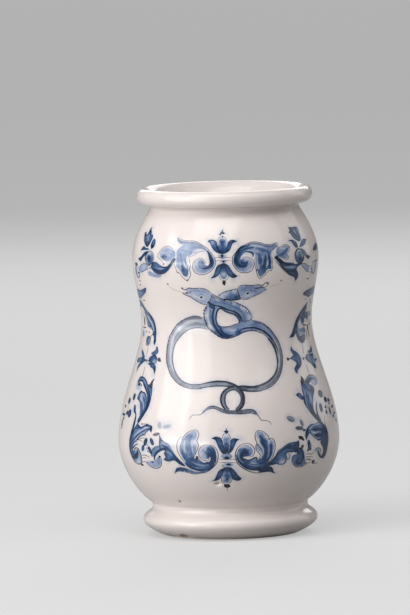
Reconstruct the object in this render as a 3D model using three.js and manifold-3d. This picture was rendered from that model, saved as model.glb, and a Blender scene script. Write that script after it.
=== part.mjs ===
// Medicine jar: wheel-thrown earthenware under a white tin glaze.
// Millimetres, +Z up. The origin is the centre of the base, on the plane that the jar stands on.
// The whole form is a turned one: every surface is a profile in (radius, height) spun round the Z axis.

import * as THREE from "three";
import { mergeVertices } from "three/addons/utils/BufferGeometryUtils.js";
import Module from "manifold-3d";

const wasm = await Module();
wasm.setup();

// Heights. The stretch between the belly and the waist takes up a change of the overall height.
const OVERALL_HEIGHT = 230;
const RIM_HEIGHT = 10.6;
const NECK_BELOW_LIP = 13.6;
const SHOULDER_BELOW_LIP = 47;
const WAIST_BELOW_LIP = 88;
const BELLY_HEIGHT = 62;
const FOOT_HEIGHT = 21.4;
const FOOT_STEM = 2.8;
const FOOT_BEAD_HEIGHT = 10;

// Outside diameters and overhangs.
const NECK_DIAMETER = 98.6;
const RIM_OVERHANG = 9.1;
const RIM_BEAD = 9;
const SHOULDER_DIAMETER = 123.6;
const WAIST_DIAMETER = 113.2;
const BELLY_DIAMETER = 146.6;
const FOOT_NECK_DIAMETER = 103.4;
const FOOT_SPREAD = 6.2;

// The wall, the floor and the turned underside.
const WALL = 6.5;
const FLOOR_THICKNESS = 8.5;
const RECESS_DEPTH = 7;
const RECESS_SLOPE = 3.5;
const RING_INSET = 13.4;
const RING_WIDTH = 6.5;

// The glaze coat. The allowance is the slip of clearance kept between the two solids.
const GLAZE = 0.8;
const GLAZE_ALLOWANCE = 0.3;
const GLAZE_END = 0.95; // share of the foot's lower curve that is glazed; the rest was wiped bare

// The worn places: a chip in the edge of the foot, and a flake of glaze lost low on the belly.
const CHIP = { width: 9, height: 6.8, depth: 6.2, inset: 7.9, rise: 1, turn: -38 };
const FLAKE = { width: 4.6, height: 3, rise: 39.3, turn: -7 };

// Facets round the axis and along each curve.
const TURN_SEGMENTS = 40;
const LONG_CURVE = 5;
const SHORT_CURVE = 3;
const BEAD_CURVE = 4;
const HOLLOW_CURVE = 2; // the hollow under the rim

// Handle lengths of the curves, as shares of the height or the width that a curve covers.
const SOFT_HANDLE = 1 / 3;
const FULL_HANDLE = 0.39;
const ROUND_HANDLE = 0.5523; // turns a quarter of a circle
const UNDER_RIM = { inwards: 0.6, upwards: 0.7 };
const NECK_FLARE = { outwards: 0.42, downwards: 0.25 };
const HEEL_FLARE = { outwards: 0.47, upwards: 0.16 };
const FLOOR_SWEEP = { reach: 1.3, along: 0.55, slope: 0.4 };
const FOOT_ROLL = { above: 0.6, below: 0.62, tuck: 0.45, tuckHeight: 0.22 };

// The smallest cosine of a mitre, which keeps a sharp corner from running away.
const MITRE_LIMIT = 0.5;

const neckRadius = NECK_DIAMETER / 2;
const rimRadius = neckRadius + RIM_OVERHANG;
const footNeckRadius = FOOT_NECK_DIAMETER / 2;
const footRadius = footNeckRadius + FOOT_SPREAD;
const ringRadius = footRadius - RING_INSET;
const floorHeight = RECESS_DEPTH + FLOOR_THICKNESS;

const neckHeight = OVERALL_HEIGHT - NECK_BELOW_LIP;
const shoulderHeight = OVERALL_HEIGHT - SHOULDER_BELOW_LIP;
const waistHeight = OVERALL_HEIGHT - WAIST_BELOW_LIP;

const point = (radius, height) => new THREE.Vector2(radius, height);

// One stretch of the profile, from a to b, with the two handles of a cubic curve.
function curve(a, handleA, handleB, b, steps) {
  return { shape: new THREE.CubicBezierCurve(a, handleA, handleB, b), steps };
}

function straight(a, b) {
  return curve(a, a, b, b, 1);
}

// A stretch that leaves a and reaches b running straight up, such as from the belly to the waist.
function swell(a, b, shareA, shareB, steps) {
  const climb = b.y - a.y;
  const handleA = point(a.x, a.y + climb * shareA);
  const handleB = point(b.x, b.y - climb * shareB);
  return curve(a, handleA, handleB, b, steps);
}

// The wall's inner face beside a stretch of the outside, climbed the other way.
function lining({ shape, steps }) {
  const inner = (share) => {
    const along = shape.getTangent(1 - share);
    return shape.getPoint(1 - share).add(point(along.y, -along.x).multiplyScalar(WALL));
  };
  return { shape: { getPoint: inner }, steps };
}

// The samples of a chain of stretches, from the start of the first to the share `end` of the last.
function sample(stretches, end = 1) {
  const points = [stretches[0].shape.getPoint(0)];
  stretches.forEach(({ shape, steps }, i) => {
    const reach = i === stretches.length - 1 ? end : 1;
    for (let k = 1; k <= steps; k += 1) points.push(shape.getPoint((k / steps) * reach));
  });
  return points;
}

// The outside from the widest place of the belly down to the neck of the foot.
function heelStretch() {
  const belly = point(BELLY_DIAMETER / 2, BELLY_HEIGHT);
  const footNeck = point(footNeckRadius, FOOT_HEIGHT);
  const drop = BELLY_HEIGHT - FOOT_HEIGHT;
  const heelSlope = point(
    THREE.MathUtils.lerp(footNeck.x, belly.x, HEEL_FLARE.outwards),
    FOOT_HEIGHT + drop * HEEL_FLARE.upwards,
  );
  return curve(belly, point(belly.x, BELLY_HEIGHT - drop * FULL_HANDLE), heelSlope, footNeck, LONG_CURVE);
}

// The sweep from the flat of the floor up to the heel, which it meets in the heel's own direction.
function floorSweep(heel) {
  const { x, y } = heel.shape.getPoint(0);
  const next = heel.shape.getPoint(1 / heel.steps);
  const climb = y - floorHeight;
  const edge = point(x - climb * FLOOR_SWEEP.reach, floorHeight);
  const slope = (next.x - x) / (next.y - y);
  const run = climb * FLOOR_SWEEP.slope;
  const flatHandle = point(THREE.MathUtils.lerp(edge.x, x, FLOOR_SWEEP.along), floorHeight);
  return curve(edge, flatHandle, point(x - run * slope, y - run), point(x, y), SHORT_CURVE);
}

// Inside, from the middle of the floor up to the throat under the lip.
function insideStretches() {
  const heel = lining(heelStretch());
  const sweep = floorSweep(heel);
  const belly = point(BELLY_DIAMETER / 2 - WALL, BELLY_HEIGHT);
  const waist = point(WAIST_DIAMETER / 2 - WALL, waistHeight);
  const shoulder = point(SHOULDER_DIAMETER / 2 - WALL, shoulderHeight);
  const throat = point(neckRadius - WALL, neckHeight - WALL / 2);
  const lip = point(rimRadius - RIM_BEAD / 2, OVERALL_HEIGHT);
  const mouth = point(lip.x - RIM_BEAD / 2, OVERALL_HEIGHT);
  const throatHandle = point(throat.x, THREE.MathUtils.lerp(throat.y, lip.y, SOFT_HANDLE));
  return [
    straight(point(0, floorHeight), sweep.shape.getPoint(0)),
    sweep,
    heel,
    swell(belly, waist, FULL_HANDLE, SOFT_HANDLE, LONG_CURVE),
    swell(waist, shoulder, SOFT_HANDLE, SOFT_HANDLE, SHORT_CURVE),
    swell(shoulder, throat, FULL_HANDLE, SOFT_HANDLE, SHORT_CURVE),
    curve(throat, throatHandle, mouth, lip, SHORT_CURVE),
  ];
}

// Outside, from the top of the lip down round the bead, and on down to the edge of the standing ring.
function outsideStretches() {
  const halfBead = RIM_BEAD / 2;
  const halfRim = RIM_HEIGHT / 2;
  const lip = point(rimRadius - halfBead, OVERALL_HEIGHT);
  const bead = point(rimRadius, OVERALL_HEIGHT - halfRim);
  const underBead = point(lip.x, OVERALL_HEIGHT - RIM_HEIGHT);
  const neck = point(neckRadius, neckHeight);
  const shoulder = point(SHOULDER_DIAMETER / 2, shoulderHeight);
  const waist = point(WAIST_DIAMETER / 2, waistHeight);
  const belly = point(BELLY_DIAMETER / 2, BELLY_HEIGHT);
  const footNeck = point(footNeckRadius, FOOT_HEIGHT);
  const stem = point(footNeckRadius, FOOT_HEIGHT - FOOT_STEM);
  const bulge = point(footRadius, FOOT_BEAD_HEIGHT);
  const ring = point(ringRadius, 0);
  const neckClimb = neckHeight - shoulderHeight;
  const neckSlope = point(
    THREE.MathUtils.lerp(neck.x, shoulder.x, NECK_FLARE.outwards),
    neckHeight - neckClimb * NECK_FLARE.downwards,
  );
  return [
    curve(
      lip,
      point(lip.x + halfBead * ROUND_HANDLE, lip.y),
      point(bead.x, bead.y + halfRim * ROUND_HANDLE),
      bead,
      BEAD_CURVE,
    ),
    curve(
      bead,
      point(bead.x, bead.y - halfRim * ROUND_HANDLE),
      point(underBead.x + halfBead * ROUND_HANDLE, underBead.y),
      underBead,
      BEAD_CURVE,
    ),
    curve(
      underBead,
      point(THREE.MathUtils.lerp(underBead.x, neck.x, UNDER_RIM.inwards), underBead.y),
      point(neck.x, THREE.MathUtils.lerp(neck.y, underBead.y, UNDER_RIM.upwards)),
      neck,
      HOLLOW_CURVE,
    ),
    curve(
      neck,
      neckSlope,
      point(shoulder.x, shoulderHeight + neckClimb * FULL_HANDLE),
      shoulder,
      LONG_CURVE,
    ),
    swell(shoulder, waist, SOFT_HANDLE, SOFT_HANDLE, SHORT_CURVE),
    swell(waist, belly, SOFT_HANDLE, FULL_HANDLE, LONG_CURVE),
    heelStretch(),
    swell(footNeck, stem, SOFT_HANDLE, SOFT_HANDLE, 1),
    swell(stem, bulge, FULL_HANDLE, FOOT_ROLL.above, BEAD_CURVE),
    curve(
      bulge,
      point(bulge.x, FOOT_BEAD_HEIGHT * FOOT_ROLL.below),
      point(
        THREE.MathUtils.lerp(ring.x, bulge.x, FOOT_ROLL.tuck),
        FOOT_BEAD_HEIGHT * FOOT_ROLL.tuckHeight,
      ),
      ring,
      BEAD_CURVE,
    ),
  ];
}

// A profile moved into the ware by a distance, with each corner mitred so that its facets stay parallel.
// The profile runs with the ware on its right-hand side, and starts on the axis, where it stays.
function sunk(profile, distance) {
  const last = profile.length - 1;
  return profile.map((here, i) => {
    const before = profile[Math.max(i - 1, 0)];
    const after = profile[Math.min(i + 1, last)];
    const into = i > 0 ? here.clone().sub(before) : after.clone().sub(here);
    const out = i < last ? after.clone().sub(here) : into.clone();
    const normalIn = point(into.y, -into.x).normalize();
    const normalOut = point(out.y, -out.x).normalize();
    const mitre = normalIn.clone().add(normalOut).normalize();
    const reach = distance / Math.max(mitre.dot(normalIn), MITRE_LIMIT);
    const moved = here.clone().addScaledVector(mitre, reach);
    return i === 0 ? point(0, here.y - distance) : moved;
  });
}

// A closed profile spun round the Z axis. The lathe turns faces outwards when the outside is climbed, so the
// profile, which comes down it, is taken backwards.
function turned(profile) {
  return new THREE.LatheGeometry([...profile].reverse(), TURN_SEGMENTS).rotateX(Math.PI / 2);
}

// A geometry as a solid that can be cut.
function solidOf(geometry) {
  geometry.deleteAttribute("normal");
  geometry.deleteAttribute("uv");
  const merged = mergeVertices(geometry, 1e-4);
  const index = merged.index.array;
  const triangles = [];
  for (let i = 0; i < index.length; i += 3) {
    const [a, b, c] = [index[i], index[i + 1], index[i + 2]];
    if (a !== b && b !== c && c !== a) triangles.push(a, b, c);
  }
  return new wasm.Manifold(
    new wasm.Mesh({
      numProp: 3,
      vertProperties: new Float32Array(merged.attributes.position.array),
      triVerts: new Uint32Array(triangles),
    }),
  );
}

// A solid as a geometry again.
function geometryOf(solid) {
  const mesh = solid.getMesh();
  const geometry = new THREE.BufferGeometry();
  geometry.setAttribute("position", new THREE.BufferAttribute(mesh.vertProperties, 3));
  geometry.setIndex(new THREE.BufferAttribute(mesh.triVerts, 1));
  geometry.computeVertexNormals();
  return geometry;
}

// A blunt lump of the size of a chip. Turn is its place round the jar in degrees, from the front, -Y.
function lump(radius, height, turn, width, tall, deep) {
  return new THREE.IcosahedronGeometry(1, 0)
    .scale(width / 2, deep, tall / 2)
    .translate(0, -radius, height)
    .rotateZ(THREE.MathUtils.degToRad(turn));
}

// Where the outside stands at a height between the belly and the foot.
function outsideRadius(profile, height) {
  const above = profile.findIndex((p, i) => i > 0 && p.x > footNeckRadius && p.y <= height);
  const [a, b] = [profile[above - 1], profile[above]];
  return THREE.MathUtils.mapLinear(height, a.y, b.y, a.x, b.x);
}

const inside = sample(insideStretches());
const outside = sample(outsideStretches(), GLAZE_END);
const surface = [...inside, ...outside.slice(1)];

// The fired clay lies under the glaze. It comes out bare on the standing ring and the turned underside.
const clayProfile = [
  ...sunk(surface, GLAZE + GLAZE_ALLOWANCE),
  point(ringRadius, 0),
  point(ringRadius - RING_WIDTH, 0),
  point(ringRadius - RING_WIDTH - RECESS_SLOPE, RECESS_DEPTH),
  point(0, RECESS_DEPTH),
];

// The glaze is one skin: the floor, the inside, over the lip, and the outside down to the wiped foot.
const glazeProfile = [...surface, ...sunk(surface, GLAZE).reverse()];

const chipRadius = footRadius - CHIP.inset;
const footChip = lump(chipRadius, CHIP.rise, CHIP.turn, CHIP.width, CHIP.height, CHIP.depth);
const flakeRadius = outsideRadius(outside, FLAKE.rise);
const flake = lump(flakeRadius, FLAKE.rise, FLAKE.turn, FLAKE.width, FLAKE.height, GLAZE * 2);

const clay = solidOf(turned(clayProfile)).subtract(solidOf(footChip.clone()));
const glaze = solidOf(turned(glazeProfile)).subtract(solidOf(footChip)).subtract(solidOf(flake));

const bareClay = new THREE.MeshStandardMaterial({ color: 0xb58a66, roughness: 0.9, metalness: 0 });
const whiteGlaze = new THREE.MeshStandardMaterial({ color: 0xe6dcd8, roughness: 0.2, metalness: 0 });

const body = new THREE.Mesh(geometryOf(clay), bareClay);
body.name = "earthenware_body";

const coat = new THREE.Mesh(geometryOf(glaze), whiteGlaze);
coat.name = "tin_glaze_coat";

const jar = new THREE.Group();
jar.add(body, coat);

export default jar;
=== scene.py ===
# %% [markdown]
# # A painted medicine jar
#
# The real thing is a jar for dry medicines, thrown on a wheel from pale earthenware, dipped
# in white tin glaze, painted in cobalt blue on the raw glaze and fired once more. The CAD
# part says how big it is and where it stands. This script gives it its looks: the skin of
# glaze, the painting, the bare clay of the foot, a studio and a camera.

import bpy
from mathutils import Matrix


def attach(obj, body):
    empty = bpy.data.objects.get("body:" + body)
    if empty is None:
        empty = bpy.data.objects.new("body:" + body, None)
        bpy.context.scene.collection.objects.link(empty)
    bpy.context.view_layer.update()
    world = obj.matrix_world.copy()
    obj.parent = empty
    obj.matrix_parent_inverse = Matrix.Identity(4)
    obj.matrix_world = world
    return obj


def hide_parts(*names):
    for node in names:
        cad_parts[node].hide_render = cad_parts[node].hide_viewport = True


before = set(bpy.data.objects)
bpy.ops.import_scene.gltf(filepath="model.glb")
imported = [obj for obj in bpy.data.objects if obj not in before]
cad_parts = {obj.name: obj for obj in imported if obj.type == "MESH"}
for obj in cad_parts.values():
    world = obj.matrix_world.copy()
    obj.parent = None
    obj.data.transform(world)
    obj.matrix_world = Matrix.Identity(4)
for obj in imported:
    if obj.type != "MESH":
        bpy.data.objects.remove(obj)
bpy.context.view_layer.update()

import math

import bpy
import numpy as np
from mathutils import Matrix, Vector
from mathutils.geometry import delaunay_2d_cdt

MM = 0.001  # the sizes below are millimetres, and Blender's are metres
print("CAD nodes:", sorted(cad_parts))

# %% [markdown]
# ## The camera
#
# The photographer stood well back with a long lens, a little above the jar, and held the
# camera a degree off level. A long lens keeps the rim's ellipse flat, so the lens matters as
# much as the place. The camera is made first, so that everything after it can be judged
# through it.

# %% Set up the camera
CAMERA_BACK = 5000   # mm in front of the jar's axis
CAMERA_UP = 575      # mm above the table
YAW, PITCH, ROLL = (math.radians(a) for a in (-0.162, 4.862, 1.16))
SENSOR_HEIGHT = 24
LENS_PER_SENSOR = 12.328   # focal length over the height of the frame


def set_up_camera():
    """A camera that looks along +Y, turned by yaw, tipped down by pitch, and rolled."""
    level = Vector((math.sin(YAW), math.cos(YAW), 0))
    side = Vector((math.cos(YAW), -math.sin(YAW), 0))
    ahead = level * math.cos(PITCH) - Vector((0, 0, math.sin(PITCH)))
    above = level * math.sin(PITCH) + Vector((0, 0, math.cos(PITCH)))
    right = side * math.cos(ROLL) - above * math.sin(ROLL)
    up = side * math.sin(ROLL) + above * math.cos(ROLL)
    camera = bpy.data.objects.new("camera", bpy.data.cameras.new("camera"))
    camera.data.sensor_fit = "VERTICAL"
    camera.data.sensor_height = SENSOR_HEIGHT
    camera.data.lens = SENSOR_HEIGHT * LENS_PER_SENSOR
    camera.data.clip_end = 50
    turn = Matrix((right, up, -ahead)).transposed().to_4x4()
    camera.matrix_world = Matrix.Translation((0, -CAMERA_BACK * MM, CAMERA_UP * MM)) @ turn
    bpy.context.scene.collection.objects.link(camera)
    bpy.context.scene.camera = camera
    print(f"lens {camera.data.lens:.1f} mm on a {SENSOR_HEIGHT} mm frame")


set_up_camera()

# %% [markdown]
# ## The profile
#
# A thrown pot is one line turned round an axis. The line below is the CAD part's own, with
# the same sizes, drawn more finely: it starts at the middle of the hollow under the foot,
# goes over the foot ring, up the outside, over the lip, and down the inside to the middle of
# the floor. Heel, belly, waist, shoulder, neck and rim are short curves that meet smoothly.
# The CAD mesh could be smoothed instead, but then its corners would show in the shine.

# %% The jar's sizes
HEIGHT = 230.0
LIP = (53.9, HEIGHT)          # radius and height of the top of the rim
BEAD = (58.4, 224.7)
UNDER_BEAD = (53.9, 219.4)
NECK = (49.3, 216.4)
SHOULDER = (61.8, 183.0)
WAIST = (56.6, 142.0)
BELLY = (73.3, 62.0)
FOOT_NECK = (51.7, 21.4)
STEM = (51.7, 18.6)
FOOT_BULGE = (57.9, 10.0)
FOOT_RING = (44.5, 0.0)
RING_INNER = (38.0, 0.0)
RECESS_EDGE = (34.5, 7.0)
FLOOR = 15.5
WALL = 6.5
GLAZE = 0.8
BARE_SHARE = 0.025     # the part of the foot's lower curve that was wiped clean of glaze
SOFT, FULL, ROUND = 1 / 3, 0.39, 0.5523   # how far a curve's handles reach: gentle, bold, circular
PROFILE_STEP = 0.25    # mm between the points of the whole line
print(f"{HEIGHT:.0f} mm tall, {2 * BELLY[0]:.1f} mm over the belly, wall {WALL} mm")


def mix(a, b, share):
    return a + (b - a) * share


def bend(a, handle_a, handle_b, b, steps=40):
    """Points along a cubic curve from a to b."""
    a, p, q, b = (np.array(v, float) for v in (a, handle_a, handle_b, b))
    t = np.linspace(0, 1, steps + 1)[:, None]
    return a * (1 - t) ** 3 + 3 * p * t * (1 - t) ** 2 + 3 * q * t ** 2 * (1 - t) + b * t ** 3


def swell(a, b, share_a, share_b):
    """A curve that leaves a and reaches b straight up or down."""
    climb = b[1] - a[1]
    return bend(a, (a[0], a[1] + climb * share_a), (b[0], b[1] - climb * share_b), b)


# %% The outside and the inside
HEEL_STEPS = 8   # of the inner heel's curve, over which its slope is taken


def outer_line():
    """From the lip down to the foot ring."""
    half_bead, half_rim = BEAD[0] - LIP[0], HEIGHT - BEAD[1]
    heel_drop = BELLY[1] - FOOT_NECK[1]
    neck_drop = NECK[1] - SHOULDER[1]
    heel = bend(BELLY, (BELLY[0], BELLY[1] - heel_drop * FULL),
                (mix(FOOT_NECK[0], BELLY[0], 0.47), FOOT_NECK[1] + heel_drop * 0.16), FOOT_NECK)
    return [   # the shares are how far each curve's handles reach, as in the CAD part
        bend(LIP, (LIP[0] + half_bead * ROUND, HEIGHT), (BEAD[0], BEAD[1] + half_rim * ROUND), BEAD),
        bend(BEAD, (BEAD[0], BEAD[1] - half_rim * ROUND),
             (UNDER_BEAD[0] + half_bead * ROUND, UNDER_BEAD[1]), UNDER_BEAD),
        bend(UNDER_BEAD, (mix(UNDER_BEAD[0], NECK[0], 0.6), UNDER_BEAD[1]),
             (NECK[0], mix(NECK[1], UNDER_BEAD[1], 0.7)), NECK),
        bend(NECK, (mix(NECK[0], SHOULDER[0], 0.42), NECK[1] - neck_drop * 0.25),
             (SHOULDER[0], SHOULDER[1] + neck_drop * FULL), SHOULDER),
        swell(SHOULDER, WAIST, SOFT, SOFT),
        swell(WAIST, BELLY, SOFT, FULL),
        heel,
        swell(FOOT_NECK, STEM, SOFT, SOFT),
        swell(STEM, FOOT_BULGE, FULL, 0.6),
        bend(FOOT_BULGE, (FOOT_BULGE[0], 6.2), (mix(FOOT_RING[0], FOOT_BULGE[0], 0.45), 2.2), FOOT_RING),
    ], heel


def lined(stretch):
    """The same curve from its other end, one wall's thickness further in."""
    step = np.gradient(stretch, axis=0)
    step /= np.linalg.norm(step, axis=1)[:, None]
    return (stretch + np.column_stack([step[:, 1], -step[:, 0]]) * WALL)[::-1]


def inner_line(heel):
    """From the middle of the floor up to the lip."""
    inner = lined(heel)
    start, after = inner[0], inner[HEEL_STEPS]
    climb = start[1] - FLOOR
    edge = (start[0] - climb * 1.3, FLOOR)
    slope = (after[0] - start[0]) / (after[1] - start[1])
    run = climb * 0.4
    throat = (NECK[0] - WALL, NECK[1] - WALL / 2)
    belly, waist, shoulder = ((r - WALL, h) for r, h in (BELLY, WAIST, SHOULDER))
    return [
        bend((0, FLOOR), (edge[0] / 3, FLOOR), (edge[0] * 2 / 3, FLOOR), edge),
        bend(edge, (mix(edge[0], start[0], 0.55), FLOOR), (start[0] - run * slope, start[1] - run), start),
        inner,
        swell(belly, waist, FULL, SOFT),
        swell(waist, shoulder, SOFT, SOFT),
        swell(shoulder, throat, FULL, SOFT),
        bend(throat, (throat[0], mix(throat[1], HEIGHT, SOFT)), (LIP[0] - 4.5, HEIGHT), LIP),
    ]


# %% [markdown]
# Under the foot the potter cut a shallow hollow, which leaves a narrow ring to stand on. Its
# corners are rubbed round by use, so the straight lines are joined by small curves.

# %% The whole line, from the hollow under the foot to the floor inside
WORN = 0.9   # mm, the radius of the rubbed corners under the foot


def rounded(corners, radius):
    """A chain of straight lines with a small curve at each corner between them."""
    corners = [np.array(c, float) for c in corners]
    made = [corners[0][None]]
    for before, here, after in zip(corners, corners[1:], corners[2:]):
        a = here + (before - here) / np.linalg.norm(before - here) * radius
        b = here + (after - here) / np.linalg.norm(after - here) * radius
        made.append(bend(a, mix(a, here, 0.6), mix(b, here, 0.6), b, 10))
    return np.vstack(made + [corners[-1][None]])


def arc(points):
    """The length along a chain of points, at each of them."""
    return np.concatenate([[0], np.cumsum(np.linalg.norm(np.diff(points, axis=0), axis=1))])


outer_stretches, outer_heel = outer_line()
foot_roll = outer_stretches[-1][::-1]
foot = rounded([(0, RECESS_EDGE[1]), RECESS_EDGE, RING_INNER, FOOT_RING, foot_roll[1]], WORN)
upward = np.vstack([s[::-1] for s in outer_stretches[::-1]])
downward = np.vstack([s[::-1] for s in inner_line(outer_heel)[::-1]])
chain = np.vstack([foot, upward[2:], downward])
keep = np.concatenate([[True], np.linalg.norm(np.diff(chain, axis=0), axis=1) > 1e-6])
chain = chain[keep]
places = np.arange(0, arc(chain)[-1], PROFILE_STEP)
profile = np.column_stack([np.interp(places, arc(chain), chain[:, k]) for k in (0, 1)])
profile = np.vstack([profile, (0, FLOOR)])
along = arc(profile)
LENGTH = along[-1]
top_of_lip = int(profile[:, 1].argmax())
climbing = slice(int(along.searchsorted(arc(foot)[-1])), top_of_lip)
GLAZE_START = float(along[climbing][0]) + BARE_SHARE * float(arc(foot_roll)[-1])
print(f"profile {LENGTH:.1f} mm long, glazed from {GLAZE_START:.1f} mm")

# %% [markdown]
# ## Brush tools
#
# A painter's hand moves in smooth curves, so a stroke is a few knots that a curve runs
# through. Blender has curve objects for this, but the painting is sums on points and not
# geometry, so the curves are worked out here as chains of points. To keep the texts short,
# only the first knot is a place, and each one after it is a step from the one before.

# %% Brush tools: knots and smooth curves
STEP, SOFT_STEP = 0.6, 1.0   # mm between the points of a drawn curve, and of one with a soft edge
CURVE_POINTS = 8             # that a smooth curve is worked out at between two knots
LEAST = 1e-6                 # mm, no length is taken to be shorter


def knots(text):
    """Knots in millimetres. The first is a place, "across,up", and each one after it is a step from
    the one before. A third number is the tone there, and a star makes a sharp corner."""
    made, across, up = [], 0.0, 0.0
    for word in text.split():
        right, rise, *tone = word.rstrip("*").split(",")
        across, up = round(across + float(right), 2), round(up + float(rise), 2)
        made.append((across, up, float(tone[0]) if tone else word.endswith("*")))
    return made


def spline(points, closed):
    """A curve through the points, with rounded turns (centripetal Catmull-Rom)."""
    p = np.array(points, float)
    if len(p) < 3:
        return np.linspace(p[0], p[-1], CURVE_POINTS)
    if closed:
        p = np.vstack([p[-1], p, p[0], p[1]])
    else:
        p = np.vstack([2 * p[0] - p[1], p, 2 * p[-1] - p[-2]])
    made = []
    for a, b, c, d in zip(p, p[1:], p[2:], p[3:]):
        t1 = math.sqrt(max(np.linalg.norm(b - a), LEAST))
        t2 = t1 + math.sqrt(max(np.linalg.norm(c - b), LEAST))
        t3 = t2 + math.sqrt(max(np.linalg.norm(d - c), LEAST))
        t = np.linspace(t1, t2, CURVE_POINTS + 1)[:-1, None]
        ab, bc = a + (b - a) * t / t1, b + (c - b) * (t - t1) / (t2 - t1)
        cd = c + (d - c) * (t - t2) / (t3 - t2)
        abc, bcd = ab + (bc - ab) * t / t2, bc + (cd - bc) * (t - t1) / (t3 - t1)
        made.append(abc + (bcd - abc) * (t - t1) / (t2 - t1))
    return np.vstack(made + ([] if closed else [p[-2:-1]]))


def drawn(text, closed=False):
    """The curve that a hand draws through the knots, broken at each sharp corner."""
    marks = knots(text)
    points = [m[:2] for m in marks]
    corners = [i for i, m in enumerate(marks) if m[2]]
    if closed and not corners:
        path = spline(points, True)
        path = np.vstack([path, path[:1]])
    else:
        if closed:
            first = corners[0]
            points = points[first:] + points[:first + 1]
            corners = [i - first for i in corners] + [len(points) - 1]
        stops = sorted({0, len(points) - 1, *corners})
        runs = [spline(points[a:b + 1], False) for a, b in zip(stops, stops[1:])]
        path = np.vstack([r[:-1] for r in runs] + [runs[-1][-1:]])
    return path


def even(path, step):
    """The same chain with its points about one step apart."""
    length = arc(path)
    at = np.linspace(0, length[-1], max(int(length[-1] / step), 2) + 1)
    return np.column_stack([np.interp(at, length, path[:, k]) for k in (0, 1)])


print("a place and a step:", knots("1,2 .5,-1"))


# %% Brush tools: what lies in an outline, and how far off a line is
def lies_within(points, outline):
    """Which points lie in a closed outline, by counting the sides that each one's level line
    crosses."""
    x, y = points[:, :1], points[:, 1:]
    a, b = outline, np.roll(outline, -1, axis=0)
    rising = (a[:, 1] > y) != (b[:, 1] > y)
    rise = np.where(b[:, 1] == a[:, 1], 1e-9, b[:, 1] - a[:, 1])
    crossing = a[:, 0] + (y - a[:, 1]) * (b[:, 0] - a[:, 0]) / rise
    return (rising & (x < crossing)).sum(axis=1) % 2 == 1


def nearest(points, path):
    """The distance from each point to a chain, and how far along the chain the nearest place is, as
    a share of its length."""
    a, step = path[:-1], np.diff(path, axis=0)
    size = np.maximum((step ** 2).sum(axis=1), 1e-12)
    along = np.clip(((points[:, None] - a) * step).sum(axis=2) / size, 0, 1)
    away = np.linalg.norm(points[:, None] - (a + along[..., None] * step), axis=2)
    best = away.argmin(axis=1)
    rows = np.arange(len(points))
    length = arc(path)
    share = (length[best] + along[rows, best] * np.sqrt(size[best])) / length[-1]
    return away[rows, best], share


square = np.array([(0, 0), (2, 0), (2, 2), (0, 2)], float)
print("the middle lies in the square:", lies_within(np.array([(1.0, 1.0)]), square)[0])

# %% [markdown]
# ## Strokes
#
# A jar is mostly painted with a picture file. Here it is a list of strokes, laid one over the
# other as the painter did, because they stay sharp from near and each can be mended. A wash
# fills an outline, a brush stroke swells and thins along its way, a pen line is a fine stroke
# of the dark outline colour, and a blob is one dab. Each has a tone from 0, bare glaze, to 1,
# the thickest pigment. A stroke of bare glaze takes pigment off again. In the fire the cobalt
# bleeds a little into the glaze, which gives the haze round each stroke.

# %% Strokes
COBALT, INK, SLATE, BARE = 0, 1, 2, 3   # slate is cobalt with a little of the outline colour in it
EDGE_LINE = 0.4              # mm, the width of the fine line round a leaf
HAIR_SOFT = 0.15             # mm over which the edge of a fine line fades
SOFT_FROM = 0.35             # mm, a brush stroke with a softer edge takes the longer step
strokes, told = [], []


def wash(text, tones, pigment=COBALT, soft=0.0, rim=0.0):
    """A filled shape. Its tones are spots that blend into each other. A rim darkens it towards its
    outline, and the outline gets a fine dark line."""
    path = even(drawn(text, True), STEP)
    strokes.append(dict(kind="wash", path=path[:-1], spots=np.array(knots(tones)), pigment=pigment,
                        soft=soft, rim=rim))
    if rim:
        strokes.append(dict(kind="brush", path=path, tone=0.9, pigment=COBALT,
                            widths=np.array([EDGE_LINE]), soft=HAIR_SOFT))


def brush(text, widths, tone, pigment=COBALT, soft=0.0):
    """A stroke whose width goes through the given values from one end to the other."""
    step = SOFT_STEP if soft > SOFT_FROM else STEP
    strokes.append(dict(kind="brush", path=even(drawn(text), step), tone=tone, pigment=pigment,
                        widths=np.array([float(w) for w in str(widths).split()]), soft=soft))


def pen(text, width=0.5, tone=0.6):
    """A thin outline that starts and ends finer."""
    brush(text, f"{width * 0.6} {width} {width} {width} {width * 0.5}", tone, INK)


print("strokes are of", COBALT, "cobalt,", INK, "ink,", SLATE, "slate or", BARE, "bare glaze")

# %% Dabs, and rows of hairlines
OVAL_POINTS = 20             # in the outline of a dab
DAB_RIM = 0.13               # how far the pigment gathers at the edge of a full dab
DAB_RIM_TONE, DAB_RIM_SIZE = 0.55, 0.85   # a dab that is paler, or has a smaller half size, has no rim
HAIR_WIDTHS = (0.34, 0.2)    # mm, a hairline at its root and its tip


def blob(across, up, wide, tall, tone, pigment=COBALT, turn=0, soft=0.0):
    """A dab of the brush: an oval by its half sizes, turned anticlockwise in degrees."""
    t = np.linspace(0, 2 * math.pi, OVAL_POINTS, endpoint=False)
    c, s = math.cos(math.radians(turn)), math.sin(math.radians(turn))
    x, y = wide * np.cos(t), tall * np.sin(t)
    path = np.column_stack([across + c * x - s * y, up + s * x + c * y])
    full = pigment == COBALT and tone > DAB_RIM_TONE and min(wide, tall) > DAB_RIM_SIZE
    strokes.append(dict(kind="wash", path=even(np.vstack([path, path[:1]]), STEP)[:-1],
                        spots=np.array([[across, up, tone]]), pigment=pigment, soft=soft,
                        rim=DAB_RIM if full else 0.0))


def dots(text, wide, tall, tone, pigment):
    """The same small dab at each knot."""
    for across, up, _ in knots(text):
        blob(across, up, wide, tall, tone, pigment)


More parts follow.
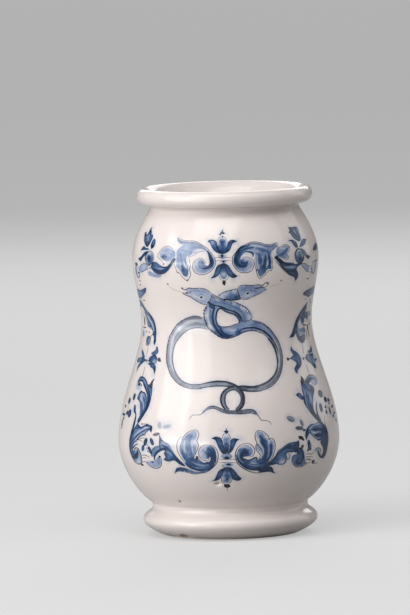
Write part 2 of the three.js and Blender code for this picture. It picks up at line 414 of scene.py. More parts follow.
def scales(text, reach, tone=0.42, gap=1.05):
    """A row of short hairlines that stand on a line, to its right where the reach is above zero."""
    line = even(drawn(text), gap)
    step = np.gradient(line, axis=0)
    step /= np.linalg.norm(step, axis=1)[:, None]
    tips = line + np.column_stack([step[:, 1], -step[:, 0]]) * reach
    for root, tip in zip(line[1:-1], tips[1:-1]):
        strokes.append(dict(kind="brush", path=even(np.array([root, tip]), STEP), tone=tone,
                            pigment=INK, widths=np.array(HAIR_WIDTHS), soft=HAIR_SOFT))


def tell(piece):
    """Says how many strokes the last piece of the pattern took."""
    print(piece + ":", len(strokes) - sum(told), "strokes")
    told.append(len(strokes) - sum(told))


tell("nothing yet")

# %% [markdown]
# What a stroke leaves depends on the distance to its edge. Inside, a wash takes its tone from
# its spots, weighted by how near they are, and pigment gathers at the rim as a puddle dries.
# Outside, only the haze reaches. All of it is sums on points, so it can be asked for
# anywhere.

# %% What the strokes leave at a point
BLEED, BLEED_REACH = 0.12, 0.75   # the tone of the haze round a cobalt stroke, and its mm of reach
SPOT_PULL, SPOT_CORE = 1.6, 0.3   # how fast a spot's hold fades, and the square mm where it is full
RIM_DARK, RIM_PALE, RIM_REACH = 2.2, 0.8, 0.6   # a rim's gain, the middle's loss, mm it fades over
REACH = 2.0                       # mm past a stroke within which it is looked at
BATCH = 4000                      # points that are worked out at one time


def half_width(stroke, share):
    w = stroke["widths"]
    if len(w) == 1:
        return np.full(np.shape(share), w[0] / 2)
    return np.interp(share, np.linspace(0, 1, len(w)), w) / 2


def cover(stroke, points):
    """How much of the pigment reaches each point, 0 to 1, and its tone there."""
    if stroke["kind"] == "brush":
        away, share = nearest(points, stroke["path"])
        depth = half_width(stroke, share) - away
        tone = np.full(len(points), stroke["tone"])
    else:
        within = lies_within(points, stroke["path"])
        loop = np.vstack([stroke["path"], stroke["path"][:1]])
        depth = np.where(within, 1, -1) * nearest(points, loop)[0]
        gap = ((points[:, None] - stroke["spots"][:, :2]) ** 2).sum(axis=2) + SPOT_CORE
        weight = gap ** -SPOT_PULL
        tone = (weight * stroke["spots"][:, 2]).sum(axis=1) / weight.sum(axis=1)
        if stroke["rim"]:
            gain = RIM_DARK * np.exp(-np.maximum(depth, 0) / RIM_REACH) - RIM_PALE
            tone = tone + stroke["rim"] * gain
    if stroke["soft"]:
        amount = np.clip(depth / stroke["soft"] + 0.5, 0, 1)
        amount = amount * amount * (3 - 2 * amount)
    else:
        amount = (depth > 0).astype(float)
    if stroke["pigment"] in (COBALT, SLATE):
        haze = BLEED * np.exp(-(np.minimum(depth, 0) / BLEED_REACH) ** 2)
        amount = np.maximum(amount, haze / np.maximum(tone, haze))
    return amount, tone


def paint(points):
    """The three pigments' tones at each point, all strokes laid in order."""
    laid = np.zeros((len(points), 3))
    for stroke in strokes:
        margin = REACH + stroke["soft"] + (stroke["widths"].max() / 2 if stroke["kind"] == "brush" else 0)
        low, high = stroke["path"].min(axis=0) - margin, stroke["path"].max(axis=0) + margin
        near = np.flatnonzero(((points > low) & (points < high)).all(axis=1))
        if not len(near):
            continue
        for part in np.array_split(near, len(near) // BATCH + 1):
            amount, tone = cover(stroke, points[part])
            if stroke["pigment"] == BARE:
                laid[part] *= (1 - amount * tone)[:, None]
            else:
                k = stroke["pigment"]
                laid[part, k] = np.maximum(laid[part, k], amount * tone)
    return laid


# %% [markdown]
# Cobalt in a glaze takes red away first, then green, and blue last, so a thin coat is sky
# blue and a thick one nearly black. Each pigment has a row of such colours, from none to the
# thickest coat, as shares of the bare glaze's own colour. Coats over each other multiply.

# %% The colours of the pigments
TONES = np.array([0, 0.15, 0.3, 0.5, 0.65, 0.8, 0.92, 1.0])
COBALT_PASSES = np.array([
    (1, 1, 1), (0.67, 0.77, 0.92), (0.40, 0.53, 0.77), (0.150, 0.27, 0.51),
    (0.055, 0.14, 0.335), (0.024, 0.075, 0.20), (0.014, 0.042, 0.12), (0.012, 0.03, 0.07)])
INK_PASSES = np.array([
    (1, 1, 1), (0.74, 0.735, 0.765), (0.48, 0.47, 0.53), (0.26, 0.26, 0.31),
    (0.15, 0.15, 0.19), (0.085, 0.088, 0.115), (0.045, 0.045, 0.06), (0.022, 0.022, 0.032)])
SLATE_PASSES = np.array([
    (1, 1, 1), (0.70, 0.78, 0.90), (0.49, 0.57, 0.70), (0.265, 0.335, 0.45),
    (0.165, 0.205, 0.27), (0.085, 0.11, 0.155), (0.045, 0.06, 0.09), (0.028, 0.036, 0.055)])


def colour(laid):
    made = np.ones((len(laid), 3))
    for tone, passes in zip(np.clip(laid, 0, 1).T, (COBALT_PASSES, INK_PASSES, SLATE_PASSES)):
        made *= np.column_stack([np.interp(tone, TONES, passes[:, c]) for c in range(3)])
    return made


print("a middle cobalt keeps", colour(np.array([[0.5, 0, 0]]))[0], "of the glaze's colour")

# %% [markdown]
# ## The ornament
#
# The numbers are millimetres, to the right of the jar's front and up from the table, and
# steps after the first place in a text. The pattern is a frame of leaves on the front, and
# the back is plain. In the middle of the frame's upper band stands a lily with a heart and
# two petals, tied to a smaller one that hangs under it. The small berries over it are single
# dabs.

# %% The lily at the top
blob(-2, 203.5, 1.1, .9, .97)
blob(-3.2, 202.4, .8, .6, .95)
blob(-.9, 203, .8, .7, .95)
blob(-1.6, 204.9, .4, .7, .9)
blob(-1.6, 200.9, .5, .6, .85)
pen("-5.2,197.6 .5,1.8 1.2,1.2 1.6,.3 1.7,-.5 1.1,-1.4 .5,-2", .4, .5)
wash("-4.3,197.5 .9,1.7 1.6,.8 1.5,-.7 1,-1.8 .2,-3 -.6,-3 -2,-1.5 -1.8,1.5 -1.1,3",
     "-1.8,199.4,.3 -2.4,-2.4,.25 2.7,-2,.7 -.7,2.6,.92 .6,-6.1,.85 2.2,4.5,.35")
wash("-11.4,198* .8,.7 1.6,.2 2,-.5 1.3,-1.2 1,-2.7 1.5,-3 1.4,-1.6 -2.2,.4 -2,1 -1.8,1.7 -1.2,2 -1,2",
     "-10.8,198.2,.7 2.3,-.9,.4 1.6,-1.3,.6 1.4,-2.5,.78 2.5,-2.5,.9", rim=.12)
wash("7.9,197.7* -2.7,.9 -2,-.5 -1.2,-1.2 -.8,-2.4 -1.2,-3.5 -1.6,-1.1 3.4,1.3 1.5,1.8 .8,2 1.1,1.7",
     "6.5,197.8,.98 -3.1,-1,.75 -1.6,-2.8,.65 -.3,-2,.85", rim=.12)
pen("-6.6,196.8 1.2,-2.8 2,-2.8", .35, .6)
blob(-1.7, 190.4, 1.1, .8, .95)
blob(-2, 188.4, 2.3, 1.5, .25)
blob(-2.1, 188.6, 1.1, .9, .9)
pen("-4.4,188.8 .8,-1.5 1.6,-.5 1.6,.5 .7,1.5", .35, .55)
pen("-8,187.3 4,.2 4,0 4.6,.1", .38, .5)
pen("-7.6,185.4 3.6,.1 4,.1 4.3,.1", .38, .5)
blob(-1.1, 184.9, 1.9, .9, .3)
blob(-1.2, 184.8, .9, .7, .9)
wash("-1.3,183.7 -1.2,-.5 -2.3,-.8 -1.4,-2.4 -.8,-2.4 -.8,-1.9 -1.7,-1.7* 2.5,.5 1.5,.9 1.2,1.2 1.3,2.2 "
     "1,2.7",
     "-4,180.5,.8 -1.5,-3,.7 -3,-3,.98 5.5,7.8,.9", rim=.12)
wash("-1.2,183.7 2.8,-1.5 1.9,-3 1.5,-2.2 2.5,-2* -2.5,-1.1 -2,.9 -1.5,1.2 -1.2,2.5 -.9,2.5",
     "1.5,180,.8 1.5,-2.8,.7 3.2,-2.4,.98 -5.7,7.6,.9", rim=.12)
wash("-1.3,183.2 -1.9,-3.2 -.7,-3.2 .9,-2.5 1.8,-1.1 1.7,1.1 .7,2.5 -.6,3.2",
     "-1.4,181.5,.85 .1,-2.5,.65 0,-2.7,.2 -1.9,.2,.45 3.9,0,.45 -2,-2.5,.5")
pen("-4.8,176.6 .7,-2.3 1.3,-1.6 1.6,-.6 1.7,.6 1.3,1.8 .5,1.7", .4, .55)
blob(-1.2, 170.9, 1.2, 1.6, .97, INK)
blob(-1, 169.4, .5, .6, .8, INK)
tell("lily at the top")

# %% [markdown]
# A leafy scroll runs out from the lily to each side. The two are not mirror images, because a
# hand drew both, so each has its own knots. A wash gives each leaf its shape, soft strokes
# give its folds, soft strokes of bare glaze give the lights that the painter left free, and
# the outline comes last, a little outside the wash.

# %% The upper scroll on the left
wash("-33.4,199.5* 3.4,-1.3 4,-.6 4,0 3.4,-.8 2.3,-1.3 2.3,-1.2 1.8,-1.3 1.4,-1.8 1.8,-2.4 1.4,-1.8 .6,-1.7 "
     "-.1,-2 -1.1,-2.3 -1.8,-1.8 -2.3,-1.3 -2.7,-.8 -2.3,.3 -2.2,1.1 -1.2,2 .2,2.3 .9,1.6 1.4,1.1 2,1 "
     "1.6,-.7 1.3,-1.5 .5,-1.4 1.4,-.6 1.1,1.3 .2,1.4 -.3,2.3 -.6,2.2 -1,1.4 -2,1 -2,.4 -2,-.6 -1.5,-1.1 "
     "-2.1,-.4 -2.4,-1.7 -3,0 -5.6,0 -.6,2 .8,2 1.9,1.8 2.5,1.7 -1.5,.3 -2,.8 -1.3,1.1",
     "-31,198,.4 7,-1.5,.38 6,-1.7,.3 4.5,-2.1,.36 4.2,-4.1,.62 -17.7,4.9,.3 2,-3,.42 -6,-.5,.35 11,3,.3 "
     "5,-10,.62 -4.3,-2,.18 2.3,-2.7,.25 6,.9,.35 3,3.3,.6 -10,2.1,.2 4.5,-3,.5")
brush("-33.4,199.3 1.9,-1.4 3.5,-.2 5,-.5 4.5,-.9 3.5,-1.6 2.4,-1.8", ".5 1.2 1.6 1.5 1.4 1.3 .8", .2, INK,
      soft=.9)
brush("-24,193.6 4,.8 3,-.4 2.8,-1.1", ".8 1.8 1.8 .8", .44, soft=1.2)
brush("-29.5,192.5 3.5,-1 3,-.5 1.5,-.4", ".6 1 .9 .5", .46, soft=.8)
brush("-21.6,190.9 2,1.1 2.4,.7 2.3,-.2 1.9,-.9", ".4 .9 1.1 .9 .5", .75, BARE, soft=.6)
brush("-11.6,191.8 1.3,-2 .9,-2.5 .5,-2.3 -.5,-2.2 -1.4,-1.6 -1.8,-.6 -2,-.2", ".8 1.7 2.3 2.4 2.2 1.9 1.7 "
      ".9", .9, soft=.6)
brush("-16.8,184.8 -.6,-1.8 .8,-1.8 2,-.7", ".8 1.5 1.6 1", .6, soft=.9)
blob(-14.9, 183.4, 1.2, 1.9, .6, soft=1)
brush("-19.4,183.6 .4,-2.4 1.6,-1.9 2.4,-.7 3,.5 2.4,1.5", ".8 1.3 1.4 1.4 1.3 .8", .36, soft=.8)
pen("-34.3,200.4* 4.3,-1.4 4,-.6 4,-.1 3.6,-.9 2.3,-1.3 2.1,-1.1 2.1,-1.2 1.7,-2 1.9,-2.5 1.3,-1.9 .7,-1.9 "
    "-.1,-2.3 -1.2,-2.4 -1.9,-2.2 -2.5,-1.5 -3,-.8 -2.5,.3 -2.5,1.2 -1.4,2.4 .1,2.8 1,2 1.8,1.3 2.3,1 2,-.9 "
    "1.4,-1.5 .6,-1.5", .5, .6)
pen("-34.3,200.4* 1.1,-2.2 1.7,-1.3 2,-.7 1.5,-.3", .4, .5)
pen("-23.3,188.1 2.3,.8 2,1.1 2,1.2 1.5,.4 1.9,-.3", .35, .5)
wash("-25.3,189.5 -.3,-2.5 -.2,-1.6 .8,-2.4 .6,-2 -.1,-3 -.5,-1.8 -1,-1.2 -1.5,.2 -1.5,1.6 -1.3,2.2 -1.2,1.4 "
     "-1.4,1 -.4,2.6 .5,3 .5,2.5",
     "-28.5,187,.42 .7,-7.5,.65 1.8,-2.5,.6 -6,6,.3 6.8,-1,.3 -4.8,2,.38 3,-.5,.45")
brush("-30.6,190.6 1,-3.6 .7,-3", ".8 2.2 1.6", .5, soft=1.4)
brush("-28.8,183.4 .4,-2.4 .5,-2.1", ".8 1.8 1.7", .72, soft=.9)
brush("-32.6,188 1,-3 .2,-3", ".5 .8 .4", .5, soft=.5)
brush("-26.9,186.8 .5,-2 .6,-1.6", ".3 .8 .4", .58, soft=.5)
brush("-27.6,177.8 1.2,-1.5 .8,-.9", "1 1.6 .8", .52, soft=.8)
brush("-27.7,184.6 .8,-2 1.4,-1.8", ".3 .7 .4", .8, BARE, soft=.4)
brush("-30.4,181.4 .4,-2 1.2,-2", ".3 .6 .3", .55, BARE, soft=.4)
pen("-34.6,184.8 .4,-2.8 .7,-2 .5,-1.6 .8,-1.2* 1.3,0 .9,-1.4 1,-1.3 1.5,-1.2 1.3,-.9 .8,-.4* .7,1.2 1.1,1.6 "
    ".6,2 -.3,1.7 -.3,1.5 .5,1.6 .2,1 -.4,1.4 -.2,2 -.7,1.8 1,.4", .5, .6)
blob(-25.6, 172.5, .5, .7, .8, INK)
blob(-32.2, 177.5, .6, .5, .7, INK)
tell("upper scroll on the left")

# %% The curl behind it
wash("-46.8,188.3 .2,1.5 1.1,1.6 2,1.6 2.8,.8 3.4,-1.2 2.9,-1.6 .4,-3 -2,-1.4 -2,-1.4 -2,-.4 -3,.8 -2.3,1.2",
     "-42.8,187.8,.6 1.8,3.9,.35 -4.5,-2.2,.25 7,.5,.22 2.5,-1.5,.42 -7.8,3.5,.3 4.8,-5.7,.4")
brush("-44.4,187.9 1.6,-.2 2,.1", "1.2 1.9 1", .74, soft=.9)
brush("-41,190.4 3.4,-.8 2.6,-1", ".8 1.6 1", .4, soft=1)
brush("-42.2,191.6 2.4,.3 3.2,-.7 2.2,-.6", ".4 .9 .9 .5", .18, INK, soft=.7)
brush("-45.4,190.2 1.8,0 2.2,-.9", ".3 .7 .3", .5, BARE, soft=.5)
pen("-43,183 -1.1,1.3 -1.5,1.1 -1.9,1.1 -1.5,1.4 .7,1.2 1,1.3 1,1.5 1.6,1.3 2.2,1.1 2.2,.3 2.3,-.8 "
    "2.2,-1.2", .5, .5)
blob(-43, 182.8, .8, .5, .75, INK)
wash("-55.3,180.4 .9,1.6 1.4,1.2 2,.6 2,-.5 2,-1.1 2,-1 2.8,-.4 2.7,.6 1.9,2.4 2.1,2.7 1.9,.1 -1,-2.2 "
     "-1.6,-1.7 -1.8,-2.1 -2.2,-2.3 -2.3,-1.3 -2.5,-.7 -3,-.1 -2.5,.5 -2.5,1.1",
     "-52,181,.82 4,-2.5,.85 5,1,.75 4,1.3,.85 4,4.2,.8 -15,-2.5,.6 4,-1.7,.6", rim=.1)
brush("-52.6,179.4 3.6,-1.5 3.6,-.1 3.4,1.1 3,1.8 2.6,2.7", ".8 1.5 1.6 1.5 1.4 .7", .9, soft=.7)
brush("-51.4,180.6 3,-1.1 3.4,.2 2.6,.3", ".4 .9 .8 .3", .4, BARE, soft=.5)
brush("-46.4,181.2 3,-.5 2.8,.2 2.6,1.9 2,2.8", ".4 .8 .9 .8 .4", .5, INK, soft=.4)
brush("-53,177.2 4,-1.2 4,.1 3,1.1 2.4,1.6", ".3 .6 .7 .6 .3", .6, INK, soft=.3)
wash("-59,176.6 1.5,-1.5 2.5,-.5 4,-.4 3.5,.1 1.7,.9 -2.2,.4 -3,.2 -3.5,.9 -2.5,.7", "-57,176,.35 7,-1,.4")
pen("-59.4,177.5 .6,-2.3 3.8,-.9 4,-.5 3.8,.2 1.6,1.4", .35, .5)
blob(-57, 181.5, .9, .7, .6)
blob(-56.3, 179.5, .8, .6, .6)
tell("curl behind it")

# %% The flower and the leaves at the far left
wash("-62,187 .6,2.3 1.8,.9 2.6,.1 2.4,-.8 1.4,-1.3 .6,-2 -.6,-2 -1.4,-1.4 -2.4,-.8 -2.5,.5 -1.7,2",
     "-57.3,186,.92 -3.2,1,.55 5.5,1.3,.45 -4.5,-4.5,.4 5,.7,.6 -2.5,4.8,.4")
pen("-60,190.5 3,.4 2.6,-.8 1.8,-1.5 .7,-2.4 -.7,-2.2 -1.4,-1.7", .5, .7)
wash("-59,190.2 -4,-.6 -2.5,-1.7 -2.5,-1.8 -3.6,-1.1* 2.6,-1.4 2,.5 2,1.7 2.5,1.8 2.5,1",
     "-70,184.9,.9 3.5,.8,.85 4,2.9,.85", rim=.1)
wash("-69,190.4 2,2.3 2,.9 2.5,-1 2.5,-.1 2,-.7 -4,-.7 -4,-.3", "-67,191.6,.85 4,.3,.75")
wash("-61,193.3 -3.5,1.5 -2.5,2 -1.5,2.2 -1.5,3* 2,.2 1.5,-1.5 1.3,.5 .9,1.8 .6,2 1.4,.9* .1,-1.7 1.4,-1.2 "
     ".9,-1.8 1.4,0 1.2,-1.2 -.2,-1.4 -.8,-2.1 -1.2,-2.3",
     "-62,195,.8 -4,2.5,.65 -3,3.5,.9 6.2,2.8,.9 1.3,-4.8,.5 2.5,0,.75 -1,-2.5,.7", rim=.1)
wash("-56,192.4 -1,2.1 .4,2.5 1.6,1.6 1.5,-.8 .5,-2.3 -.8,-2.1", "-55.3,194,.92 .3,3.2,.62", rim=.1)
blob(-55.3, 193.8, 1, .9, .7, INK)
wash("-58,180.4 -2,1.2 -3,.4 -5,-1.4 -3,-2.2 2,-2.2 4,.9 4,1.5 2.5,.2", "-64,180,.25 -6,-2.5,.35 10,2.5,.3")
pen("-58,180.6 -2.5,1.3 -3,.2 -4.5,-1.5 -3.2,-2.4", .5, .7)
pen("-58.2,178.6 -2.8,-.2 -4,-1.5 -4,-1", .5, .7)
blob(-76, 181, 3, 1, .8)
blob(-72.7, 175.5, 1.6, .7, .9)
wash("-70.5,178 -1.5,-5 -4,-.7 -3,2.7 1,4.5 4,1", "-74,176,.15 -4,0,.45")
pen("-70.6,178 -1,-4.4 -3.4,-1.6 -3.6,2.4 0,4.2 3.6,2", .8, .7)
blob(-72.8, 170, 1.5, .5, .75, INK)
blob(-73.2, 167.4, 1.6, .5, .7, INK)
wash("-86,158.5 6,-.5 8,2.5 6,3.1 1,2 -5,-1 -6,-1.2 -10,.1", "-68,164,.75 -7,-3,.6 -8,-.2,.7", rim=.1)
tell("flower and leaves at the far left")

# %% The upper scroll on the right
wash("35,195.1 -3,-.8 -2.2,0 -2.8,.3 -2.6,.9 -2.9,.7 -3,.1 -2.8,-.7 -2.5,-1.1 -2.5,-.8 -1.5,-1.2 -1.3,-1.7 "
     "-1.1,-1.4 -1.2,-1.4 -.5,-2.3 .1,-2.1 .9,-2 1.6,-2 2,-1.4 2.8,-.5 2.3,.3 1.6,1 .9,1.8 .4,1.9 -.3,1.6 "
     "-1,1.3 -1.7,.9 -1.7,.3 -2,-.4 -1.4,-.6 .3,1.8 1.1,1.4 1.3,.9 1.7,.5 2,.2 1.6,-1.2 1.9,-.2 2.5,-.4 "
     "8.2,-.5 1.1,2 2.2,1.9 2.5,1.2",
     "33,193.6,.4 -7,-.6,.4 -7,1.6,.35 -6,-1.6,.5 -5,-3.5,.8 -1.7,-4,.75 15.7,6,.32 7,-.5,.45 -4.5,-1,.45 "
     "-12,-7,.68 3,-3.4,.15 -5.5,-.3,.45 6.6,3.7,.25 -2.8,2.9,.2 -4.3,-1.9,.6")
brush("15,195.4 4,.6 4,-.6 4,-1.2 4,-.7 3.4,.8", ".6 1.2 1.4 1.3 1.2 .8", .3, INK, soft=.8)
brush("20.6,192.8 3.4,-1 3.6,-1.1 2.2,-1.8", "1.4 2.6 2.4 1.2", .6, soft=1.2)
brush("10.2,191.4 2.8,1.2 3,.7 3,.1", "1 1.8 1.8 .9", .76, soft=.9)
brush("15.8,194.8 -3.4,-.6 -2.8,-1.4 -1.6,-2.2 -1,-2.6 -.2,-2.6 .8,-2.4 1.8,-1.4 2.2,-.5 2,.7", ".6 1.1 1.5 "
      "2 2.4 2.5 2.4 2.2 1.9 .9", .93, soft=.6)
brush("10.4,184 1.2,-1.1 1.7,.2 .6,1.3", "1.5 2.5 2.5 1.2", .8, soft=.9)
brush("16.7,183.6 -.4,-2.2 -1.7,-1.6 -2.6,-.5 -2.8,.6", ".9 1.1 1.1 1.1 .8", .34, soft=.6)
brush("13.2,190.9 2.4,-.3 2,-.8 .5,-1.3 -.4,-.8", ".4 .8 1.3 1.3 .6", .86, soft=.3)
brush("13.6,191.7 3,-.2 2.4,-.6", ".4 .8 .4", .5, BARE, soft=.5)
brush("17,194.6 4,-.1 4,-1.1 3,-1.4", ".3 .6 .6 .3", .4, BARE, soft=.4)
pen("36.2,195.8* -1.8,-.6 -2.4,-.3 -2,-.1 -3,.4 -2.5,.9 -3,.7 -3,.1 -3,-.7 -2.5,-1.1 -2.6,-.8 -1.5,-1.3 "
    "-1.5,-1.7 -1.3,-1.5 -1.2,-1.6 -.5,-2.4 .1,-2.3 1,-2.3 1.8,-2.3 2.2,-1.4 3,-.5 2.5,.4 1.9,1.2 1.1,1.9 "
    ".4,2.2 -.3,2 -1.2,1.4 -1.9,1 -2,.4 -2,-.5", .55, .7)
pen("36.2,195.8* .4,-1.2 -1.4,-1.6 -2.2,-1.4 -2,-1.3 -1.2,-1.8", .45, .55)
wash("19.8,183.5 .2,-2.7 .6,-2.4 .8,-2.6 1.4,-1.8 1.6,1 1.6,1.3 1.3,2 1.3,.6 1.4,-.3 .6,1.4 -.4,1.5 .4,1.7 "
     ".2,1.8 -.5,2.5 -.1,1.5 -5.2,.6 -5,-.2 -.4,-2.4",
     "24,187,.45 1.3,-6.5,.8 -2.5,3.8,.72 6.5,-3,.75 -8.3,-.3,.4 6,4,.42 -4,-9,.6 6.5,10,.35 -2.2,-3.7,.35")
brush("22,190.2 .5,-2.7 .3,-2.3 -.2,-1.6", ".6 1.2 1.7 1", .68, soft=.7)
brush("26.6,188.2 -.2,-3.2 -.5,-3 -.6,-2.4", ".8 1.9 2.3 1.7", .84, soft=.9)
brush("28.8,188.6 .5,-3.1 .2,-3.1 -.3,-1.2", "1 2 2 1.2", .8, soft=.8)
brush("23.6,181.6 .2,-2.6 -.4,-2.6", ".4 .9 .5", .44, soft=.6)
brush("20.5,188.4 .2,-4.4 .8,-4.4", ".5 .9 .5", .6, BARE, soft=.6)
brush("24.5,187.4 -.2,-3.4 -.5,-2.4", ".3 .6 .4", .5, BARE, soft=.4)
brush("27.9,184.4 -.4,-2.6 -.5,-2", ".3 .7 .4", .65, BARE, soft=.4)
pen("18.8,186.5 .3,-2.5 .1,-3 .5,-2.1 .6,-2.4 .8,-2.2 1.5,-1.7* 1.9,1.4 1.8,1.3 1.3,1.4 .9,1 1.4,-.2 1,1 "
    ".5,1.5 -.4,1.5 .3,1.7 .2,1.8 -.5,2 -.9,1.6", .5, .65)
blob(20.1, 178.5, .6, .7, .75, INK)
wash("36.3,192.6 1.7,-.8 2,.7 2,.8 2.3,-.3 1.1,-1 -.4,-1.5 -1.2,-1.3 -1.5,-.9 1.3,-1.5 0,-1.6 -1.3,-.4 "
     "-2.3,.6 -2,1 -2.2,1.2 -1.3,1.2 .5,2",
     "41,191.6,.35 3,-.6,.45 -6,-1.4,.35 4,0,.25 -2,-2.8,.4 -4,2.7,.45 7,-3.7,.3")
brush("34.6,187 3.8,.5 3,1.5 2.5,1.9", "1.2 2.3 2.5 1.4", .62, soft=1.1)
brush("37.4,191.6 3.2,0 3,.6", ".4 .8 .4", .55, BARE, soft=.5)
brush("36.4,186.6 3,-1.1 2.6,-.1", ".4 .8 .4", .25, INK, soft=.5)
pen("35,193.6 1.4,-.5 1.6,-.7 2,.7 2,.8 2.6,-.3 1.6,-1.4 -.6,-2.2 -2,-1.7 -1.6,-.6 2,-1 .3,-1.7 -1.6,-1 "
    "-2.7,.7 -2,1.1", .45, .55)
blob(46, 192.2, .6, .6, .75, INK)
wash("34.5,187 1.5,-1.2 2,-1.3 2,-1.7 3,-.8 3,-.3 2.5,-.5 1.5,-.8 2.3,.2 2.7,.7 2,.3 -.4,-1.6 -1.6,-.3 "
     "-2.4,-.9 -1.1,-1.9 1.6,-2.1 .6,-2.3 -.9,-1.7 -1.4,-1.2* -.9,1.9 -1.5,1 -3,1.2 -2.5,1.6 -2.5,1.8 -2,1.8 "
     "-2,2.6 -2,2.5 -2,2",
     "35.5,185.3,.9 4.5,-4.8,.85 5,-2,.7 1.5,1.5,.55 5,-7.5,.85 -3.5,3.5,.82 6,4.4,.8 -11,-2.9,.8", rim=.1)
brush("36,184 3,-2.1 4,-1.2 4,-.1 3,-.4", ".8 1.5 1.4 1.2 .6", .95, soft=.5)
brush("42.6,176.8 3.4,-.4 3,0 2.6,-1.8 .4,-2.8", ".6 1.4 2 1.6 .6", .96, soft=.7)
brush("40.6,179.4 3.8,-.5 3.8,-.3 3.4,.3", ".5 1.1 1.2 .5", .42, BARE, soft=.5)
brush("33.6,183.8 3.4,-3.4 3.4,-3.1 3.6,-2.5 4,-1.9", ".5 .9 1.1 1.1 .8", .55, INK, soft=.5)
tell("upper scroll on the right")

# %% The flower and the leaves at the far right
wash("50.3,186 .4,2 1.5,1.5 2.1,.7 2.4,-.2 2.1,-1.4 .7,-2.6 -.7,-2.7 -1.8,-1.4 -2.2,-.4 -2.5,.8 -1.5,1.7",
     "55.2,184.8,.95 -.2,3.4,.7 -3,-1.7,.55 6,-.5,.6 -5,-2,.6 4,-1,.7", rim=.1)
pen("50.4,184.3 -.4,1.7 .5,2 1.6,1.8 2.2,.8 2.3,-.1", .5, .7)
wash("57.5,190.2 3,-1.2 1.7,-1.5 1.8,-1.7 2.5,-.9 .9,-.5* -1.9,-1.3 -2,.6 -2.5,1.6 -2,1.5 -1.5,1.6",
     "60,187.8,.85 4.5,-3,.92", rim=.1)
wash("50.5,204.4 3.5,-.2 2.5,.2 2.4,-.1 1.3,-.5 0,-2.8 -.2,-2.5 -.7,-2.5 -1.8,-.8 -2.3,.6 -2.2,1.2 -1.7,1.8 "
     "-1.1,2.2 -1.1,.3 1.6,1.2",
     "51.6,203.6,.92 3.4,-2.6,.62 3.5,1,.75 -1.5,-5,.8 -4.5,2.5,.8 3.5,4.5,.8", rim=.12)
wash("46.8,196.2* 2.7,.3 2,-.5 1.8,-1 .9,-1.5 0,-1.7 -1.5,-.6 -1.7,1.2 -1.2,1.8 -.9,1.5", "51,194.4,.7 "
     "2.5,-2,.9 -5.5,3.6,.8", rim=.1)
wash("56.3,191.4 1.7,2 2,1.6 2,.9 2,.2 2.6,-.4* -1.6,-1.5 -2,-1.3 -2.5,-.8 -2.5,-.5", "60,193.6,.75 "
     "5,1.6,.9", rim=.1)
pen("57,180.4 3,0 3,-1 3,-1.5 3.5,.1", .6, .7)
pen("57,178.6 3,-1.4 2.5,-1.8 2.5,-.9 2.5,-.6", .6, .7)
wash("57,180 5,-.8 4,-1.9 1,-2.3 -2.5,0 -3.5,1.9 -4,2", "62,177.6,.3")
blob(70.2, 176, .9, .7, .85)
blob(70.6, 173.8, .9, .6, .85)
wash("70.6,178 1.4,-4.4 4,-.8 3.5,2.2 -.5,4 -4,1.8", "75,177,.15 4,0,.5")
pen("70.8,178 1.2,-4.2 3.6,-1.2 3.8,2.4 0,3.8 -3.8,2.1 -4,-.9", .8, .75)
blob(80, 180.8, 2.6, .8, .85)
blob(66.5, 169.8, 1.7, .5, .75, INK)
wash("74,188.2 4,2.4 6,1 4,-1.6 -4,-1.6 -5,-.8", "80,189.6,.85", rim=.1)
wash("86,158.4 -6,.2 -6,-1.2 -6,.8 -5.5,1.8 3.5,1.6 6,.8 14,.6", "68,160,.85 7,.4,.75 8,.6,.8", rim=.1)
tell("flower and leaves at the far right")

# %% The last dark strokes in both flowers
brush("-62.4,194.6 -2,3.2 -2.4,3.2", ".9 1.5 .6", .97, soft=.3)
brush("-60.4,194.8 -.8,4.2 -1.4,5.4", ".9 1.4 .5", .96, soft=.3)
brush("-59,195.4 .6,3.4", "1 .5", .93, soft=.3)
brush("-61.3,197 -.7,3.6", ".4 .8", .55, BARE, soft=.4)
brush("-63.4,197 -1.8,3", ".4 .8", .55, BARE, soft=.4)
blob(-57.3, 185.6, 1.2, 2.3, .98, soft=.8)
brush("-60.2,186.4 .8,2 2,.9 2.2,-.9", ".5 .9 .9 .5", .6, BARE, soft=.5)
pen("-52.8,184 -1.8,-1.4 -2.6,-.9 -2.6,.6 -1.8,2.3 -.7,2.6 .9,2.4", .6, .8)
brush("57.8,196.2 -2.2,2.8 -2.8,3.6", "1 1.5 .8", .97, soft=.3)
brush("58.8,198 -1,3 -1,2.8", ".7 1.2 .7", .95, soft=.3)
brush("56.4,199.8 -1.6,2.8", ".4 .8", .5, BARE, soft=.4)
brush("59.5,199.6 -.5,3.2", ".4 .7", .45, BARE, soft=.4)
blob(55.3, 184.8, 1.5, 2.1, .98, soft=.8)
brush("51.8,186.6 1.4,2 2.2,.6 2,-1", ".5 .9 .9 .5", .6, BARE, soft=.5)
pen("58.8,189.4 1.2,-2.4 -.3,-3 -1.7,-2.2 -3,-1 -3,1.1 -1.8,2.3", .7, .85)
tell("last dark strokes in both flowers")

# %% [markdown]
# Two serpents face each other, knot once and frame an empty oval with their bodies, down to a
# ring and two thin tails. The bodies are long washes with dark lines along their edges. Their
# scales are hairlines that all stand on one line, so a helper sets them instead of a hundred
# calls.

